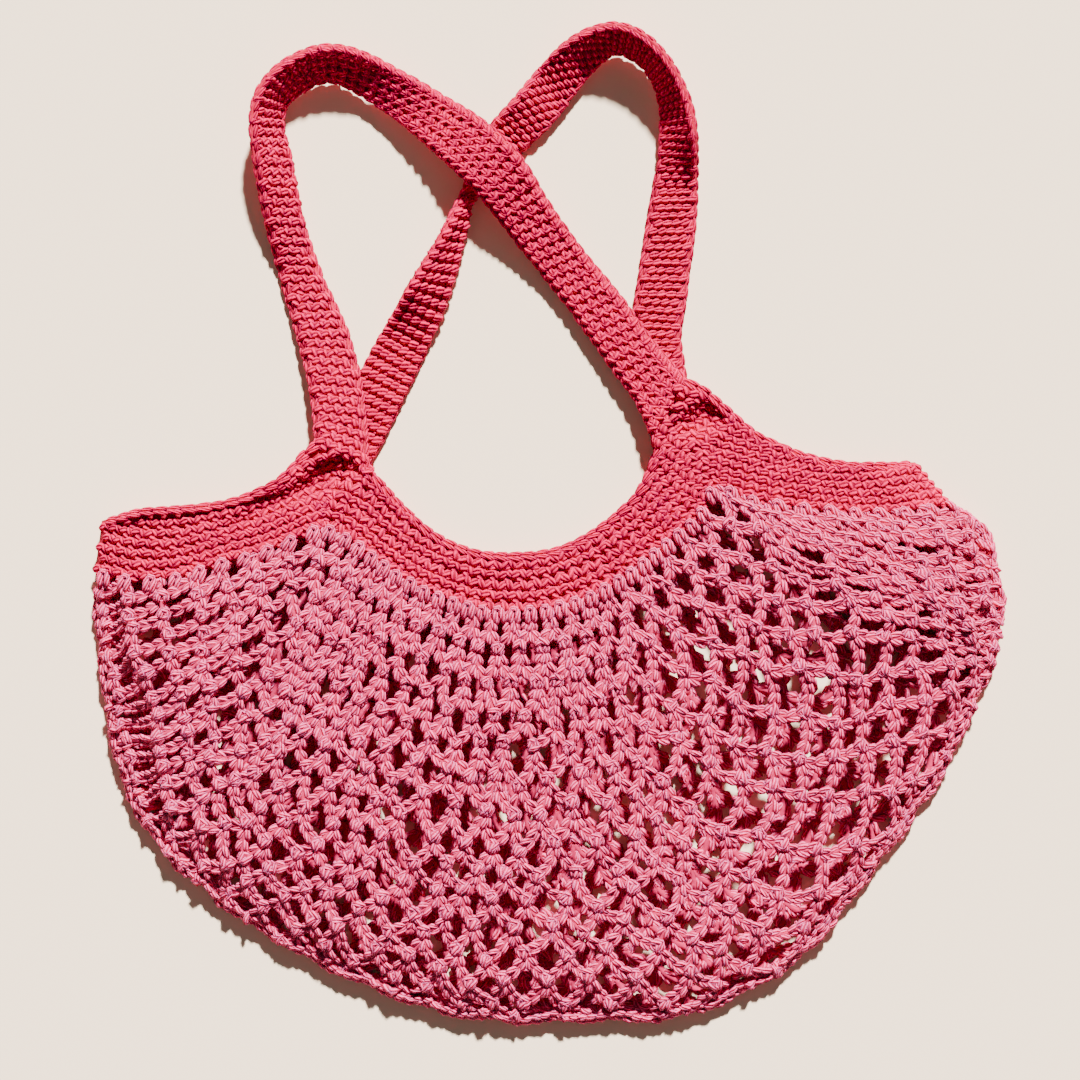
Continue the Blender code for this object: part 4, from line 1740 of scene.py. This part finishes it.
@dataclass
class Studio:
    """The plain pale floor, the light and the camera.

    Attributes:
        floor_colour: The floor's colour.
        floor_half: Half the floor's side.
        sky_colour: The colour of the light from all round.
        fill_strength: How strong that light is.
        sun_colour: The colour of the sun.
        sun_strength: How strong the sun is.
        sun_angle_deg: How wide the sun looks, which softens its shadows.
        sun_elevation_deg: How high the sun stands.
        sun_turn_deg: How far the sun stands to the right of the picture's top.
        camera_height: How high over the surface the camera is.
        lens: The camera's focal length in millimetres.
        sensor: The width of its sensor in millimetres.
        picture_middle: The middle of the photo, in its pixels.
    """

    floor_colour: Colour = (0.99, 0.78, 0.58)
    floor_half: float = 14.0
    sky_colour: Colour = (1.0, 0.98, 0.96)
    fill_strength: float = 0.13
    sun_colour: Colour = (1.0, 0.97, 0.93)
    sun_strength: float = 17.4
    sun_angle_deg: float = 4.0
    sun_elevation_deg: float = 39.0
    sun_turn_deg: float = 12.0
    camera_height: float = 1.403
    lens: float = 93.0
    sensor: float = 36.0
    picture_middle: float = 540.0

    def _floor(self) -> None:
        """Lay the floor."""
        material, graph, shader = new_material("pale_floor")
        graph.feed(shader, {"Base Color": (*self.floor_colour, 1.0), "Roughness": 0.9})
        half = self.floor_half
        corners = [(-half, -half, 0), (half, -half, 0), (half, half, 0), (-half, half, 0)]
        mesh = bpy.data.meshes.new("floor")
        mesh.from_pydata(corners, [], [(0, 1, 2, 3)])
        mesh.materials.append(material)
        floor = bpy.data.objects.new("floor", mesh)
        bpy.context.collection.objects.link(floor)

    def _lights(self) -> None:
        """Set the light from all round and the sun."""
        world = bpy.context.scene.world or bpy.data.worlds.new("studio")
        bpy.context.scene.world = world
        world.use_nodes = True
        nodes = world.node_tree.nodes
        sky = nodes.get("Background") or nodes.new("ShaderNodeBackground")
        sky.inputs["Color"].default_value = (*self.sky_colour, 1.0)
        sky.inputs["Strength"].default_value = self.fill_strength
        lamp = bpy.data.lights.new("key", "SUN")
        lamp.energy = self.sun_strength
        lamp.angle = math.radians(self.sun_angle_deg)
        lamp.color = self.sun_colour
        key = bpy.data.objects.new("key", lamp)
        elevation, turn = math.radians(self.sun_elevation_deg), math.radians(self.sun_turn_deg)
        level = math.cos(elevation)
        toward = Vector((math.sin(turn) * level, math.cos(turn) * level, math.sin(elevation)))
        key.rotation_euler = toward.to_track_quat("Z", "Y").to_euler()
        bpy.context.collection.objects.link(key)

    def _camera(self) -> None:
        """Set the camera straight above the picture's middle."""
        lens = bpy.data.cameras.new("camera")
        lens.lens = self.lens
        lens.sensor_width = self.sensor
        lens.sensor_fit = "HORIZONTAL"
        lens.clip_start = 0.05
        camera = bpy.data.objects.new("camera", lens)
        middle = plan(self.picture_middle - PHOTO_CENTRE[0], PHOTO_CENTRE[1] - self.picture_middle)
        camera.location = middle + UP * self.camera_height
        bpy.context.collection.objects.link(camera)
        bpy.context.scene.camera = camera

    def build(self) -> None:
        """Build the floor, the lights and the camera."""
        self._floor()
        self._lights()
        self._camera()


def main() -> None:
    """Build the bag's looks and the studio, in order."""
    logging.basicConfig(level=logging.INFO, format="%(name)s: %(message)s")
    shop, yarns = Workshop(), Yarns()
    Studio().build()
    RimBand(shop, yarns).build()
    NetPouch(shop, yarns).build()
    Strap(shop, yarns, "front_strap", FRONT_STRAP, FRONT_STRAP_PARTS, (STRAP_WIDTH, 0.52), 41).build()
    Strap(shop, yarns, "back_strap", BACK_STRAP, BACK_STRAP_PARTS, (STRAP_WIDTH, 0.48), 51).build()
    LOG.info("done")


if __name__ == "__main__":
    main()
